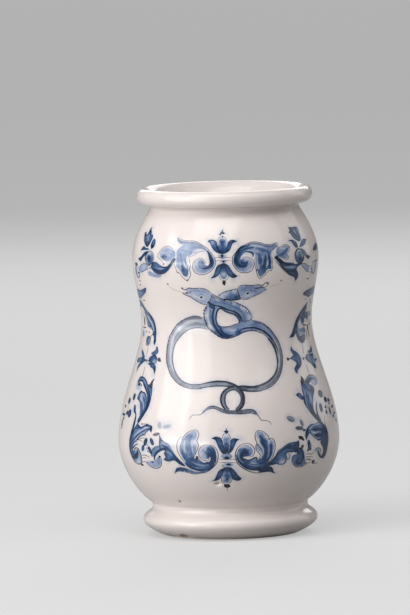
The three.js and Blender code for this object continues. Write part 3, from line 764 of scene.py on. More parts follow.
# %% The two bodies and their knot
wash("-13.2,156.2 -1.6,-2.2 -.7,-3.5 .2,-3.7 1.1,-4.2 1.7,-2.3 3.5,-2.5 4,-2.5 3.5,-1 4.5,.3 5,1.7 4,1.7 "
     "5,.8 5,-.8 4,-1.5 4,-3.5 6.3,-.7 -1.5,2.5 -1.8,2.4 -2,2.1 -2.5,1.9 -2.5,1.6 -2.5,1 -3,.8 -2.9,1 .2,2.2 "
     "-1,2.2 -1.5,2 -2,2 -3,1.6 -2.3,1.2 -2.5,1.1 -2.5,.4 -3,.5 -3,1.5 -3.3,1.5 -3,1.6 -1,-3.4 -1.3,-1.8",
     "-12.2,152,.38 .2,-5,.42 -1,-4,.3 2.4,5,.5 2.6,10.5,.5 5,-.9,.48 6,-2.1,.5 5,-2.7,.48 5,-2.8,.42 "
     "-1,-3,.55 4,1,.2 -16,-8.5,.33 5,-.5,.36 2.5,-1.6,.7 3.5,4.1,.42 5,1,.32 4,-.5,.48 5,-1.5,.34 5,-3,.36 "
     "3,-3,.36 -39,5.5,.6 5,-4,.7 -5,24.8,.12 18,-6.8,.15 -7,3.2,.2 -19.8,-8.2,.1")
wash("-7.2,147 .2,2 .5,2 .9,1.8 1.6,.6 1.5,-.8 2,-1.3 2.5,-.9 1.5,-.4 1.7,-.6 1.6,-1.3 1.4,-1.8 .6,-1.5 "
     "-.5,-.9 -2.3,-.7 -2.5,-.9 -2.5,-.5 -2,-.1 -2.5,.1 -2.1,1.2 -1.2,2", "0,147,1", BARE)
brush("-12.2,158 1.8,-1.1 2.4,-1.1 2.4,-.4 2,-.5 2.1,-1 2.2,-1.1 2.3,-.6 1.8,-.6 2,-1 1.8,-1.6 1.3,-2 "
      ".5,-1.8", "1.2 1.3 1 .9 1.1 1.3 1.2 .9 1.2 1.4 1.6 1.6 1", .96)
brush("-7.4,147 .3,2.3 .6,2.2 1.1,1.8 1.6,.5 1.5,-.9 2,-1.3 2.3,-.9 2,-.6 1.8,-.8 1.6,-1.5 1.2,-1.8 "
      ".4,-1.6", "1.2 1.2 1.2 1.2 1.1 1.1 1 1 1.1 1.2 1.2 1.1 1.2", .97)
brush("-8.2,153.8 -1.1,-2.8 -.4,-3 .3,-3 1,-3 1.6,-2.4 1.8,-2.2 2,-1.5 2.5,-.7 2.7,.3 2.3,.7", ".8 1.5 1.7 "
      "1.7 1.8 1.9 1.9 1.7 1.5 1.2 .6", .94)
brush("-7.4,147 .2,-2 .8,-1.8 1.4,-1.7 .9,-1.9 1.3,-1.8 1.9,-1.3 2.4,-.5", "1.1 1.1 1.1 1.3 1.3 1.2 1 .5",
      .92)
wash("-12,157 2,-1.1 2.2,-.9 0,-2 -1.5,.3 -2.1,1.2", "-10,155,.8")
brush("-12.6,154.4 -.6,-4.4 .2,-4 1.4,-3.6 3,-3", ".8 1.6 1.7 1.6 1", .5, BARE, soft=.9)
brush("-11,152.6 -.3,-4 .5,-4.2 1.8,-3.4", ".8 1.4 1.4 .8", .56, soft=.8)
brush("-7.4,158.2 4.4,-.8 4.6,-1.2 4.4,-1.8 4.4,-3 2.2,-3.6", ".7 1.3 1.4 1.4 1.5 1", .56, soft=.9)
brush(".6,140.4 2.8,-1.4 3,.4", ".8 1.6 .8", .35, BARE, soft=.8)
brush("14.6,142.4 4.4,-.2 4.4,-1.2 4,-2.4", ".6 1.2 1.2 .6", .5, soft=.7)
scales("-12.6,156.4 -2,-2.8 -.8,-3.2 .1,-3.6 1.1,-4 1.8,-2.6 3.8,-2.8 4.6,-2.5", -1.9)
scales("-8.6,163.1 5.6,-2.8 6.4,-2.1 4.6,-1.5 4,-2 3.3,-2.8 2.1,-3.5", 1.5)
scales("-3.4,141.8 2.4,-.1 3.4,.3 3.6,1 3,1", 2.3, .34)
scales("11,144.9 5,.4 5,-.9 5,-1.7 4.8,-3.3 3.6,-4.2", 1.5)
brush("8.2,137.2 1.6,2.2 3.2,.8 3,.2 3,-.1 3,-.7 3,-1.2 3,-1.8 2.5,-2.1 2,-2.5", ".5 .8 1 1.1 1.3 1.4 1.4 "
      "1.5 1.5 1.4", .94)
pen("-13.6,155.4 -1.1,-1.8 -.7,-2.1 -.3,-2.5 .2,-2.2 .8,-2.3 .8,-2.2 1.3,-1.9 2,-1.7 2.6,-1.7 2.7,-1.8 "
    "2.3,-.9 3,-.4 3,.5 2.5,.7 2.5,.9 1.8,.9 2.2,.9 3,.6 2.5,.1 2.5,-.3 3,-1 3,-1.2 2,-1.5 1.8,-2.1", .8, .8)
pen("-9.3,163.6 3,-1.8 3.3,-1.5 2.5,-.7", .5, .6)
pen("4.2,158.3 1.8,-.6 2,-.9 2.3,-1.2 1.7,-.8 1.6,-.9 1.7,-1.9 1.5,-2 1,-2 .1,-1.5 -.9,-1", .6, .75)
pen("9.4,144.4 1.6,.5 2,.1 3.5,.3", .55, .55)
pen("-5.4,142.3 1.9,-.5 2.5,-.2 2,.1 2.5,.6 2.5,.8 2.4,.7", .6, .65)
dots("-15.5,152.6 -.4,-2.2 0,-2.2 .8,-2.3 1.1,-2.1 1.3,-3.4 1.9,-1.7 2.4,-1.7 2.6,-1.7 2.8,-1.2 -11,20.1 "
     "13,-12.8 4.6,16 3.8,-.4 2,-.9 1.9,-1.1 1.9,-.9 5.7,-9 1.8,-.5 -3.6,1.3 6.7,-2.2 3.2,-1.6 2.8,-2 "
     "-26.4,-5.7", .62, .5, .9, INK)
dots("10,154.4 1.6,-.8 1.4,-1 1.4,-1.2", .55, .5, .9, BARE)
wash("-9.9,162.6 3.3,-1 3.2,-1.4 1.8,-.6 -1.4,-.7 -3.4,1.1 -3.4,1", "-7,161,.25", INK, soft=.8)
tell("two bodies and their knot")

# %% The ring
ring_and_tails = len(strokes)
wash("-45,128 .6,4.5 1.1,2.1 1.9,3.6 2.1,2 3.3,3 3,1.8 3,1.6 2.5,.9 2.5,.7 2,.4 2.5,-.1 3.5,-1.3 1.4,-.7 "
     "1.2,-2.9 .8,-3.6 -2.4,.5 -3,.5 -3,0 -3,-.5 -2.5,-.7 -2.5,-1.3 -2,-1.5 -2,-2 -2.2,-2 -1.8,-2.6 -.8,-2.9 "
     "-.3,-3.5 .3,-3.5 1.2,-3.5 1.8,-3.5 2.3,-3 3,-2.8 3.5,-2 4,-1 4,0 4,.5 4,.8 3,.4 4,-.1 4,-.6 3,-1.1 "
     "2.4,-1.2 -2.9,-1.4 -2.5,1 -3,.4 -5,-.4 -4,-.4 -4,-.7 -4,-.1 -4,.4 -4,1.1 -4,2 -3.5,2.7 -3,2.8 -2.5,3.7 "
     "-2,3.5 -1.3,4",
     "-20,146,.36 0,-3.4,.46 -8,1.9,.3 -2,-3.9,.44 -7,-.6,.28 1,-4.4,.44 -5.5,-4.6,.3 0,-6,.34 -.1,-5,.4 "
     "2.1,-5,.42 3.5,-4.2,.45 6,-5.2,.4 8,-2.3,.4 8,.6,.45 6,.8,.5 6,.1,.45 5,-1.4,.7")
wash("-31,146.3 3,1.2 3,.8 4,.2 3.8,-1.3 -2.3,-.4 -4.5,-.2 -4,-.6", "-23,147.5,.32", INK, soft=.8)
brush("-14.6,142.9 -2.4,.2 -3,0 -4,-.2 -3,-.7 -4,-1.7 -3.6,-2.5 -3.2,-3.4 -2,-3.6", "1 1.1 1.2 1.2 1.1 1 1 "
      ".9 .6", .52)
brush("-41.4,134 -.6,-6 .2,-6 1.2,-5 2.6,-4.4 4,-4 5,-3.6 6,-1.6 6,0", "1 2 2.4 2.4 2.4 2.2 2 1.8 .8", .12,
      INK, soft=1.5)
brush("-16,147.2 -5,.6 -6,-.9 -6,-3.1 -5,-4.4 -4,-5.6 -1.5,-5.8 .2,-6 1.9,-5.4 3.6,-5.2 4.8,-4.3", ".8 1.2 "
      "1.3 1.3 1.3 1.3 1.3 1.3 1.2 1.1 .8", .16, INK, soft=.7)
brush("-17,145 -5,.6 -6,-1.1 -6,-3.3 -4.6,-4.6 -2.4,-5.6 -.3,-6.6 1.3,-6 3.4,-5.6", ".6 1.3 1.6 1.6 1.6 1.6 "
      "1.6 1.4 .6", .42, BARE, soft=.9)
brush("-15,141.6 -5,.4 -5.4,-.6 -5.2,-2 -4.4,-3.6 -3,-4.4 -1.6,-4.8", ".6 1 1.1 1.1 1.1 1 .6", .46, soft=.5)
scales("-17,148.1 -4,.5 -4,-.4 -5,-1.6 -6,-3.4 -5,-5.1 -2.7,-4.1 -.9,-6 .1,-5 1.5,-5.2 4,-6.8 3.3,-3.2 "
       "5.7,-3.6 6,-2", -1.4, .36)
pen("-13.6,139.9 -2.4,.5 -3,.5 -3,0 -3,-.5 -2.5,-.8 -2.5,-1.3 -2,-1.4 -2.2,-2 -2,-2.3 -1.8,-2.6 -.9,-3 "
    "-.3,-3 .3,-3.7 1.2,-3.5 1.8,-3.5 2.3,-3 3,-2.9 3.6,-2 4,-1 4,0 4,.5", .9, .52)
brush("-16,104.9 3,.6 4,.7 4,.2 4,-.4 3,-1 2.6,-1.4 2,-1.6 1.4,-2 .9,-2.5 .2,-2.5 -.3,-2.6 -1,-2.4 -1.6,-1.8 "
      "-1.6,-1", ".5 .8 1.1 1.3 1.2 1.1 1.2 1.4 1.6 1.7 1.7 1.6 1.5 1.4 1", .93)
brush("-17,102.3 4,.5 4,.6 4,.1 4,-.2 2.6,-.4 1.8,0", ".4 .6 .8 .8 .8 1 1.2", .85)
pen("-17,147.3 -1.5,.9 -2,.4 -2.5,.1 -2,-.3 -2.5,-.8 -2.5,-.9 -3,-1.6 -3,-1.8 -1.6,-1.4 -1.8,-1.8 -1.6,-1.9 "
    "-1.4,-1.8 -1.2,-2.2 -.7,-2.8 -.5,-3.4 .2,-4 .4,-3 1,-3.1 1.9,-3.6 2.5,-3.7 3.1,-2.9 3.5,-2.7 4.2,-2 "
    "4,-1.1 4,-.3 4,.1", .8, .7)
dots("-33.2,145.2 -3.4,-2.2 -2,-2 -1.8,-2.1 -1.6,-2 -1.3,-2.1 -.7,-2.8 -.4,-2.6", .7, .55, .75, INK)

wash("34,131.5 -.2,-4.5 .5,-4 .1,-4 -.6,-4 -1.5,-3.2 -2.3,-3 -3,-2.6 -3,-1.9 -3,-1.1 -3,-.9 -3,-.3 -3,.3 "
     "-3,.5 -2.5,.4 -1.5,-1.4 3,-1.8 3,-.4 4,-.2 4,.2 4,.9 4,1.5 3.5,2.5 3,3 2.5,3.5 1.8,4 1.2,4.5 .3,4.5 "
     "-.8,4.5 -1.9,4",
     "36.8,129,.32 -.2,-7,.4 -.6,-6,.42 -3,-6,.45 -5,-5,.45 -6,-3,.42 -7,-1.3,.5 -6,.8,.75 29.5,19.5,.3")
brush("37.4,129.6 .6,-6.6 -1,-6.6 -3,-6 -4.6,-4.8 -5.8,-3.4 -7.6,-1.2", "1.4 2.4 2.4 2.4 2.4 2 1", .22, INK,
      soft=1.5)
brush("21.6,143.7 4.8,-1.8 4.6,-3.5 3.6,-4.6 2.4,-5.4 1.2,-6", ".7 1.2 1.3 1.3 1.3 .7", .24, INK, soft=.6)
brush("36.2,128 .4,-6 -.8,-5.4 -2.6,-5.2", ".5 1 1 .5", .4, BARE, soft=.7)
scales("36.4,132.4 2.4,-5 .4,-5.8 -.8,-4.6 -2.5,-6 -4.9,-6 -6.4,-4.1", 1.3, .36)
brush("29.9,132.3 1.8,-1.9 1.5,-2.6 1,-2.8 .4,-3.5 -.1,-3 -.5,-3.1 -1.4,-3.4 -2.3,-3 -3,-2.5 -3.1,-1.9 "
      "-3.2,-1.2 -3,-.8 -3,-.4 -3,.2 -3,.4 -2,.1", "1.4 1.7 1.8 1.5 1.2 1.1 1.1 1.2 1.2 1.2 1.3 1.4 1.3 1.5 "
      "1.7 1.8 1.4", .9)
brush("32.5,132.2 1.9,-2.8 1.2,-3 .6,-3.4", "1.4 1.2 1 .5", .8)
pen("20.5,144.8 3,-.9 2.5,-1 2.5,-1.6 2.5,-1.9 2,-2.1 1.8,-2.4 1.8,-2.7 1.6,-3.2 .8,-3.4 .3,-3.6 -.5,-3.6 "
    "-1.1,-3.6 -1.8,-3.9 -2.5,-3.5 -3,-3 -3.4,-2.4 -4,-1.6 -4,-.9 -4,-.2", .7, .7)
pen("37.2,127 .6,-4 -.4,-5 -1.4,-4.6 -2.6,-4.4 -3,-3.2 -3.4,-2.4 -3.6,-1.6", .4, .5)
brush("20,99.5 -4.5,0 -4,.4 -2.7,.7 -1.8,1", ".5 .8 1 1.2 1", .9)
tell("ring")

# %% The loop of the tails
wash("-4.6,95.5 1,3.5 2.6,2.6 3.5,1.2 3.5,-.8 2.8,-3 1,-3.8 -.8,-3.8 -2.4,-2.8 -2.8,-1.4 .6,2.1 2,2.3 .9,3.4 "
     "-1.1,3.4 -2.6,2 -3,-.8 -2,-2 -.6,-2.6 .4,-3 1,-2.3 1.2,-1.4 -1.2,-.9 -2,2 -1.6,2.8",
     "-3.2,95,.6 1.2,4,.65 4.5,2.6,.6 5.1,-2.6,.7 .9,-4.5,.8 -1.5,-4.1,.72 -9.6,.6,.55 2.6,10,.6")
brush("3.2,102.9 -2.8,-.7 -2.4,-1.6 -1.6,-2.2 -.7,-2.8 .2,-2.6 .9,-2.4 1.2,-1.8", "1.1 1.1 1.1 1.1 1.1 1.1 "
      "1.1 .9", .93)
brush("4,101.2 -1.6,-.3 -2,-.9 -1.7,-2 -.6,-2.6 .1,-2.8 .8,-2.2 1.2,-1.8", ".7 .7 .7 .8 .9 .9 .8 .7", .88)
brush("4.2,101.6 1.8,-1.6 1.1,-2.2 .4,-2.8 -.5,-2.6 -1.2,-2.1 -1.5,-1.5", ".6 .7 .7 .7 .7 .7 .5", .8)
brush("-22.4,82.2 1,1.6 1.1,1.1 2.3,.1 2,.2 1.3,1.1 1.1,1.3", ".3 .5 .5 .5 .6 .7 .9", .42, INK)
brush("-14.2,87 1.6,1.6 2,1.2 2.1,.2 2.2,-.7 2,-1.1 2.3,-1 2.5,-.7", ".8 1.3 1.6 1.8 1.9 2 2.2 2.3", .5)
brush("-13,88.8 2,1.5 2.4,.4 2.6,-.8 2,-1 2.2,-.9", ".4 .6 .7 .7 .7 .5", .8)
brush("-12.6,87.9 2.2,1.1 2,.2 2.2,-.8 2,-1.2 2.2,-1 2.5,-.4", ".3 .5 .5 .5 .6 .6 .5", .75)
brush("-2.4,87.6 2.4,-.8 2.6,-.2 2.4,.1 2.4,0", "1.4 2.2 2.6 2.6 2", .72)
brush("5,86.6 3,.2 3,.2 2.6,-.1 1.6,-.9 .7,-1.3", "2.2 2.3 2.2 2 1.5 .8", .62)
brush("6,87.6 3,.3 3,.1 2.2,-.4 1.4,-1.3", ".4 .6 .7 .7 .6", .85)
brush("4,85.5 3,-.1 3,.2 3,.1 2,-.8", ".5 .7 .6 .6 .7", .85)
brush("15.6,85.4 1,-1.4 .9,-1.8 .9,-1.4 1.4,-.2 1.7,-.3 1.5,-.9 1,-1.8", ".9 .7 .6 .7 .6 .5 .5 .3", .5, INK)

for stroke in strokes[ring_and_tails:]:
    if stroke["pigment"] == COBALT:   # the ring and the tails are greyer than the leaves
        stroke["pigment"] = SLATE
tell("loop of the tails")

# %% The two heads
wash("-28.6,166 1.6,.2 1.7,.7 3.3,-.2 3,.1 3,-.1 2.4,-.6 2,-1.1 1.3,-1.6 .4,-1.6 -.7,-1.8 -1,-1.3 -1.2,-1.3 "
     "-1.7,-.5 -2.5,.5 -2,1 -2,1.1 -2,1.3 -2.4,1.5 -2.1,.9 1.5,1.2",
     "-20,164.5,.27 4,-.5,.3 3,-2,.26 -3,-2.5,.26 -6,2.5,.22 -2.5,3.5,.26 -2.5,-.7,.1 15,-.8,.3 -7,-3.7,.28")
brush("-25,165.9 5,-.3 5,-.3 3,-1.7", ".5 1.3 1.4 .6", .36, soft=.9)
brush("-20,160.4 3.4,-1.8 3,-.6", ".4 1.2 .7", .32, soft=.8)
brush("-22.6,162.8 2.6,-1.4 2,-1.2", ".4 .9 .4", .5, BARE, soft=.7)
brush("-18.6,161 .8,1.2 1.6,.4 1.4,-.8 -.4,-1.2 -1.6,-.5 -1.4,.4", ".5 .5 .5 .5 .5 .5 .5", .6, BARE, soft=.3)
pen("-30.6,167 1.2,-.5 1.4,-.3 1.4,.4 1.6,.7 3,-.2 3,.1 3,0 2,-.5 1.6,-.6 1.4,-1.1 1.4,-1", .75, .6)
blob(-30, 167.1, .9, .7, .65, INK)
pen("-30.2,163.7 1.6,-.9 2.1,-.6 2.5,-1 1.6,-1.1 2,-1.3 2,-1.1 2,-.9 1.5,-.4 1.4,.2", .75, .6)
pen("-9.4,163.6 -.4,-2 -.8,-1.8 -1.1,-1.5 -1.3,-1.4 -.4,-1", .7, .55)
brush("-29.8,164 1.8,-.3 2.4,.1", "1 .8 .4", .4, INK, soft=.4)
blob(-26.7, 164.2, .85, .6, .92, INK)
blob(-24.4, 164.3, .6, .5, .7, INK)
blob(-16.8, 161.2, .85, .65, .95, INK)
brush("-18.8,162 1.2,.8 1.8,.1 1.4,-.9", ".3 .5 .5 .3", .5)
brush("-27,166 1.4,-1 2.2,.2 3.4,.4 4,-.2", ".3 .5 .6 .5 .3", .42)
pen("-40.2,168 3.2,-1.8 3.5,-1.1 3,-.7", .32, .3)
blob(-41, 169.6, .9, .6, .5, INK, turn=-50)

wash("-5.2,161.9 1.7,1.3 2.5,1.3 2.5,.8 2.5,.5 2.3,.6 1.3,-.4 .4,-2 .7,-1.7 1.1,-2 -.4,-.5 -3.4,-.3 -3,-.1 "
     "-2,.4 -2.5,.4 -2,.7",
     "-3,162,.18 4,-.4,.5 3,.6,.52 3,-1.2,.85 1,3,.35 -3,1,.2 -5,-1.5,.2 3,-3.2,.8")
brush("-1.2,159.6 2.2,0 2,-.6 3,.4 3.6,.3", "1.3 1 1.1 1.2 .7", .97)
blob(-1, 159.3, .7, .7, .98, INK)
pen("-5.4,162 1.9,1.3 2.5,1.4 2.5,.8 2.7,.5 2.1,.6 1.3,-.1", .6, .55)
dots("-4.6,162.6 8,3 2.9,.8 -6.3,-1.6", .55, .5, .75, INK)
wash("8.2,165.8 .6,1.4 1.4,1 1.8,.3 3,-.3 3,-.2 2.5,.2 2,-.1 1.5,-.7 2,-.6 1.3,-1.4 -1.8,-.8 -2,-1.1 -2.5,-1 "
     "-2.2,-.9 -2.5,-.9 -2.3,-.8 -2.8,0 -1,.7 -1,1.8 -.7,1.6",
     "11,166,.4 4,.6,.42 5,-.6,.42 4,-.6,.35 -6,-1.9,.33 -5,-2,.3 -2.5,1.5,.36 11.5,4.4,.3")
brush("9.8,165.6 3.2,1.3 5,-.1 4,-.8", ".6 1.5 1.5 .6", .48, soft=.9)
brush("12,165 4,.1 4,-.2", ".3 .6 .3", .35, INK, soft=.4)
brush("12.6,163.2 1,1.3 2,-.1 .4,-1.4 -1.4,-.9 -1.6,.3", ".5 .5 .5 .5 .5 .5", .5, BARE, soft=.3)
brush("11.4,161.6 3.6,0 3,1.4", ".4 1.1 .5", .45, BARE, soft=.8)
pen("7.6,165.9 .7,1.7 1.5,1 2.2,.3 3,-.3 3,-.2 2.5,.3 2,-.1 1.5,-.5 1,.3 1,.9 1.5,.6 1.4,-.4 -.5,-1.2 "
    "-1.4,-1.3 -1.4,-.6", .75, .7)
pen("28,165.4 -2,-.9 -2,-1.1 -2.5,-1.1 -2.5,-1 -2.5,-1 -2.5,-.9 -2.5,.1 -1.8,.5", .65, .62)
pen("7.6,166.2 .3,-1.8 .7,-1.8 1.2,-2.2", .8, .75)
brush("19.4,166.2 2.2,.4 2.6,.3 1.6,-.3", ".7 1.3 1 .5", .6, INK, soft=.5)
blob(28.2, 169.3, 1, .7, .55, INK, turn=-40)
blob(14.4, 163.3, .95, .6, .93, INK, turn=25)
brush("16.4,165.2 2,-.8 2.2,-.4", ".3 .5 .3", .5)
pen("28.6,166 3.4,1.6 4,.4 2,2", .3, .25)
blob(38.6, 170.5, .7, .6, .6, INK)
tell("two heads")

# %% [markdown]
# The lower band has a lily like the upper one, with a longer flower that hangs under it. The
# same few strokes in the same order draw it again at its own size.

# %% The lily at the bottom
wash("-1.3,76.2* -.5,-1.2 -1,-.7* .8,-.9 .6,-.9 .6,.9 .8,.8* -.9,.8", "-1.3,74.3,.95")
pen("-3.7,69.6 .3,1.8 .9,1.6 .6,.7", .4, .5)
pen(".9,69.2 -.4,2.2 -.8,1.6 -.5,.6", .4, .5)
wash("-1.4,72.5 -1.2,-1.5 -.6,-2 .2,-3 .4,-3.5 1.1,-2.1 1.2,1.6 .6,3.5 .1,3.5 -.5,2.3",
     "-1.4,71.5,.15 0,-2.5,.48 -.1,-3,.75 .2,-3.5,.92 -1.6,5,.35 3,0,.35")
wash("-9.1,69.9* 1.6,.9 1.5,-.1 1.5,-.8 .8,-1.9 .5,-2.5 .7,-3.5 1,-1.9 -2,-.1 -1.2,2 -1.1,2.5 -.7,2.5 -1,2",
     "-8.3,70,.95 2,-.4,.8 1.3,-2.3,.7 .8,-3.8,.78 1.5,-2.5,.9", rim=.12)
wash("5.4,68.9* -2.4,.7 -1.5,-.4 -.7,-1.2 -.2,-3 -.6,-3 -1,-1.9 1.5,.4 1.3,1.8 1,2.5 .7,2 .8,1.4",
     "4.2,69,.98 -1.9,-1,.72 -.5,-2,.65 -1.1,-4,.88", rim=.12)
wash("-4.3,58.2 1,1.4 1.7,.4 1.8,-.6 .9,-1.5 -.6,-1.4 -1.8,-.5 -2.1,.6", "-2.6,58.4,.3 1.1,-1.4,.7 "
     "1.5,1.4,.35", soft=.3)
pen("-4.3,58 1,1.5 1.7,.5 1.8,-.6 .9,-1.4 -.5,-1.3 -1.4,-.6", .45, .55)
blob(-1.5, 57, 1.3, .95, .92)
pen("-6.4,56.5 2.6,-.5 2.8,-.1 5,0", .42, .6)
pen("-6.6,54.4 3.4,-.4 4.2,-.2 3.6,-.5", .42, .6)
wash("-3.8,52 .8,1.2 2.2,.4 2.2,-.6 .6,-1 -1.4,-1 -2,-.3 -1.8,.3", "-2.8,52,.25 3.8,.2,.3")
blob(-.5, 52.5, 1.4, .8, .92)
pen("-4,52.3 .3,-1.1 1.1,-.7", .4, .6)
wash("-1.6,50.6 -2.4,-.9 -1.8,-1.4 -1.2,-2.3 -.8,-2 -.8,-1.5 -1.4,-1* 2,.2 1.7,.8 1.3,1.5 .8,1.8 .9,2.2",
     "-3.4,49.2,.9 -2.2,-2.7,.72 -1.2,-3,.8 -2.2,-1.6,.98", rim=.12)
wash(".2,50.6 1.8,-1.4 1.4,-2.2 1.3,-2 1.3,-1.6 .7,-.6* -.9,-1.1 -1.5,-.3 -1.5,.5 -1.1,1.1 -.7,2 -.8,2.5",
     "5.2,42.8,.98 -2.2,1.7,.85 -1.2,2.7,.75 -1.2,2.4,.88", rim=.12)
wash("-.8,51 -1.2,-.4 -1.3,-1.6 -.9,-3 -.2,-3 .7,-2.3 1.7,-.9 1.5,.5 1.3,2.2 .2,2.5 -.6,3.5 -.4,1.7",
     "-1.3,48.5,.82 -.4,-3.5,.75 -2.1,-2,.2 2.2,-.7,.92 1.7,-.3,.3 -1.9,-1.4,.4 -1.6,6,.4 3.8,-.2,.45")
pen("-4.7,44 -.2,-2 .6,-1.7 1.5,-1.1", .5, .65)
pen("1.3,43.5 -.1,-2 -1,-1.5 -1,-.8", .5, .65)
wash("-3.3,39 1.5,.2 1.5,-.3 .7,-1.2 -.9,-1 -1.7,-.2 -1.1,.6 -.3,.9", "-1.6,38,.98", INK)
brush("-1.5,37 -.1,-1.6 .1,-1.4", ".8 .5 .3", .3, INK, soft=.3)
tell("lily at the bottom")

# %% [markdown]
# The lower scrolls are fatter than the upper ones and rise into a broad round leaf. The folds
# are again soft strokes over a wash.

# %% The lower scroll on the left
wash("-19.3,74.7 -2.2,-1.2 -2,-1.7 -1.5,-2 -1.2,-2.8 -1.2,-2.4 -.2,-3.1 1.1,-3 1.2,-2.5 1.7,-2.4 2.6,-1.6 "
     "2.6,.6 1.1,2 -1.9,2 -.2,1.4 .6,2.4 .9,2.6 .2,3 -.5,3 .6,3 -.5,2.5",
     "-19.5,73,.3 -3,-4.5,.45 -.5,-3.5,.4 -2.8,-1,.32 4.8,-1.5,.45 -3.5,-4,.55 3.7,-.5,.55 2.2,10,.15 "
     "-3.4,-13.6,.7 4,-.4,.65 -6.6,7.5,.35 3.6,9.5,.5")
brush("-22.7,68.8 -.2,-3.4 .1,-3.8", ".9 2.2 2", .5, soft=1.1)
brush("-26.4,62.6 1,-3.8 1.6,-3.2 2.6,-2.4 3.2,-1.4", ".7 1.8 2.3 2.5 1.8", .68, soft=1.2)
brush("-21.2,64.2 .5,-3 -.2,-3.2", ".5 1.1 .8", .56, soft=.8)
brush("-19.2,73.8 .1,-2.4 .1,-2.4", ".8 1.4 .7", .3, soft=.8)
brush("-25.6,69.4 -.9,-3 -.2,-3", ".3 .8 .4", .36, soft=.6)
brush("-24.5,68.2 -.4,-3.4 .3,-3.8", ".3 .7 .4", .7, BARE, soft=.4)
brush("-20.5,68 .3,-4 .5,-4.4", ".3 .6 .4", .6, BARE, soft=.4)
brush("-22.8,59.6 1.2,-3 2.2,-2", ".3 .6 .3", .35, BARE, soft=.4)
brush("-20.2,72.4 -1.2,-3.4 -.4,-3.5 .6,-3.5 1,-2.6", ".3 .5 .6 .5 .3", .6)
wash("-24.6,54 1.6,-2.6 2.5,-1.8 3.5,-1 3.5,.2 2.5,1.6 2.2,2.4 1.4,3 .4,3.5 -.4,2.7 -1.2,2.1 -2.3,.7 "
     "-1.3,-1.8 .7,-3 1.1,-2 .2,-1.6 -.8,-1.8 -2.3,-.8 -2,.8 -1.7,1.4 -.9,1.6 -.9,-1.4 -1.2,1.4 -1.6,-.2 "
     "-2,-1.4",
     "-9,60,.75 .6,-3,.82 -1.9,5.5,.6 .3,-4.5,.95 -3,-7,.7 -4,-.6,.7 3,-1,.65 -7,2.1,.8 4,2.5,.6 6,-1.4,.78 "
     "-8.4,2.8,.75 -3.2,-1,.65")
wash("-10.8,64.9 -2.4,-.5 -1.8,-1.6 -1,-2.5 .7,-2.3 1.4,-1.4 1.8,-.4 1.2,1 .2,2.3 -.5,2.5",
     "-13.5,61,.4 -1.5,-1,.14 2,3.6,.22 2,-.2,.35 -.3,-4.6,.82 -2.3,-.9,.25")
brush("-9.6,53.4 1.4,2.4 .4,2.8 -.3,2.6 -1.2,2", ".6 1.1 1.2 1 .5", .88)
brush("-24.8,53.2 2,-2.4 3.2,-1.5 4,-.9 3.6,.8 2.5,2.2 1.6,3.2 .5,3.4 -.5,3", ".6 1 1.2 1.2 1.2 1.2 1.2 1.1 "
      ".6", .88, soft=.4)
brush("-9,56.4 .1,3 -.9,2.6 -1.2,1", "1.2 1.8 1.7 .9", .84, soft=.7)
brush("-12.6,61.2 .9,-1.8 1.3,-1.2", "1 2 1.6", .7, soft=1)
brush("-20.6,54.2 3,-1.6 3.6,-.7 2.4,.5", ".5 1.3 1.2 .4", .38, BARE, soft=.7)
brush("-21,51 4,-.8 4,.4", ".3 .6 .3", .35, BARE, soft=.4)
pen("-11.2,65.5 2,-.4 1.9,-1.5 1.1,-2.6 .2,-3 -.5,-3 -1.2,-2.5 -1.7,-2.1 -2.1,-1.8 -2.5,-1.4 -3,-.5 -3,-.6 "
    "-2.5,.5 -2.5,.7 -3,.4 -2.5,-.3 -1.1,-.6 -.8,-.6*", .6, .65)
wash("-32.4,46.3* 1.1,2 1.1,1.4 1.9,.5 2.3,-.2 2.5,-.8 2.5,-1 4,-.5 4,.3 -2,-.8 -4,-.6 -3.5,.4 -3.5,.8 "
     "-3.5,.1 -1.7,-.6",
     "-30,48.8,.82 3,.2,.75 4,-.8,.6 5,-.9,.5")
pen("-32.3,46.3 .9,2 1.1,1.5 1.9,.6 2.4,-.2 2.6,-.8 2.6,-.9", .4, .6)
pen("-11.2,65.7 -2.3,-.3 -1.9,-1.4 -1.1,-2.2 -.2,-2.3 .8,-2.1 1.5,-1.6 2.1,-.6 1.2,.6 .1,1.2 -1.1,.8", .5, .6)
blob(-12, 54.1, 1.2, .4, .85)
pen("-19.6,75.3 -2.4,-1.1 -2.1,-1.8 -1.3,-1.9 -.7,-2.1 -.2,-2", .5, .6)
pen("-26.4,71 -1.4,-1.6 -1,-2 -.5,-2.9 .4,-3 1.3,-3.1 1.2,-2.4 1.8,-3 2,-2 2.2,-1.3", .5, .6)
pen("-19.6,75.3 1,.3 1.4,-.9 .7,-1.7 -.3,-2.5 -.8,-2.2 .6,-1.5 .3,-1.8 -.4,-2 -.9,-2 -.8,-2 -.7,-2.2 .9,-.9 "
    ".5,1.5 .5,1.1* .6,-1.4 1.2,-1.8 1.4,-1.5 2,-.7 1.1,.8", .5, .65)
wash("-17.6,58.6* -.7,-1.2 .5,-1.1 1,.5", "-17.6,57.4,.85", INK)
tell("lower scroll on the left")

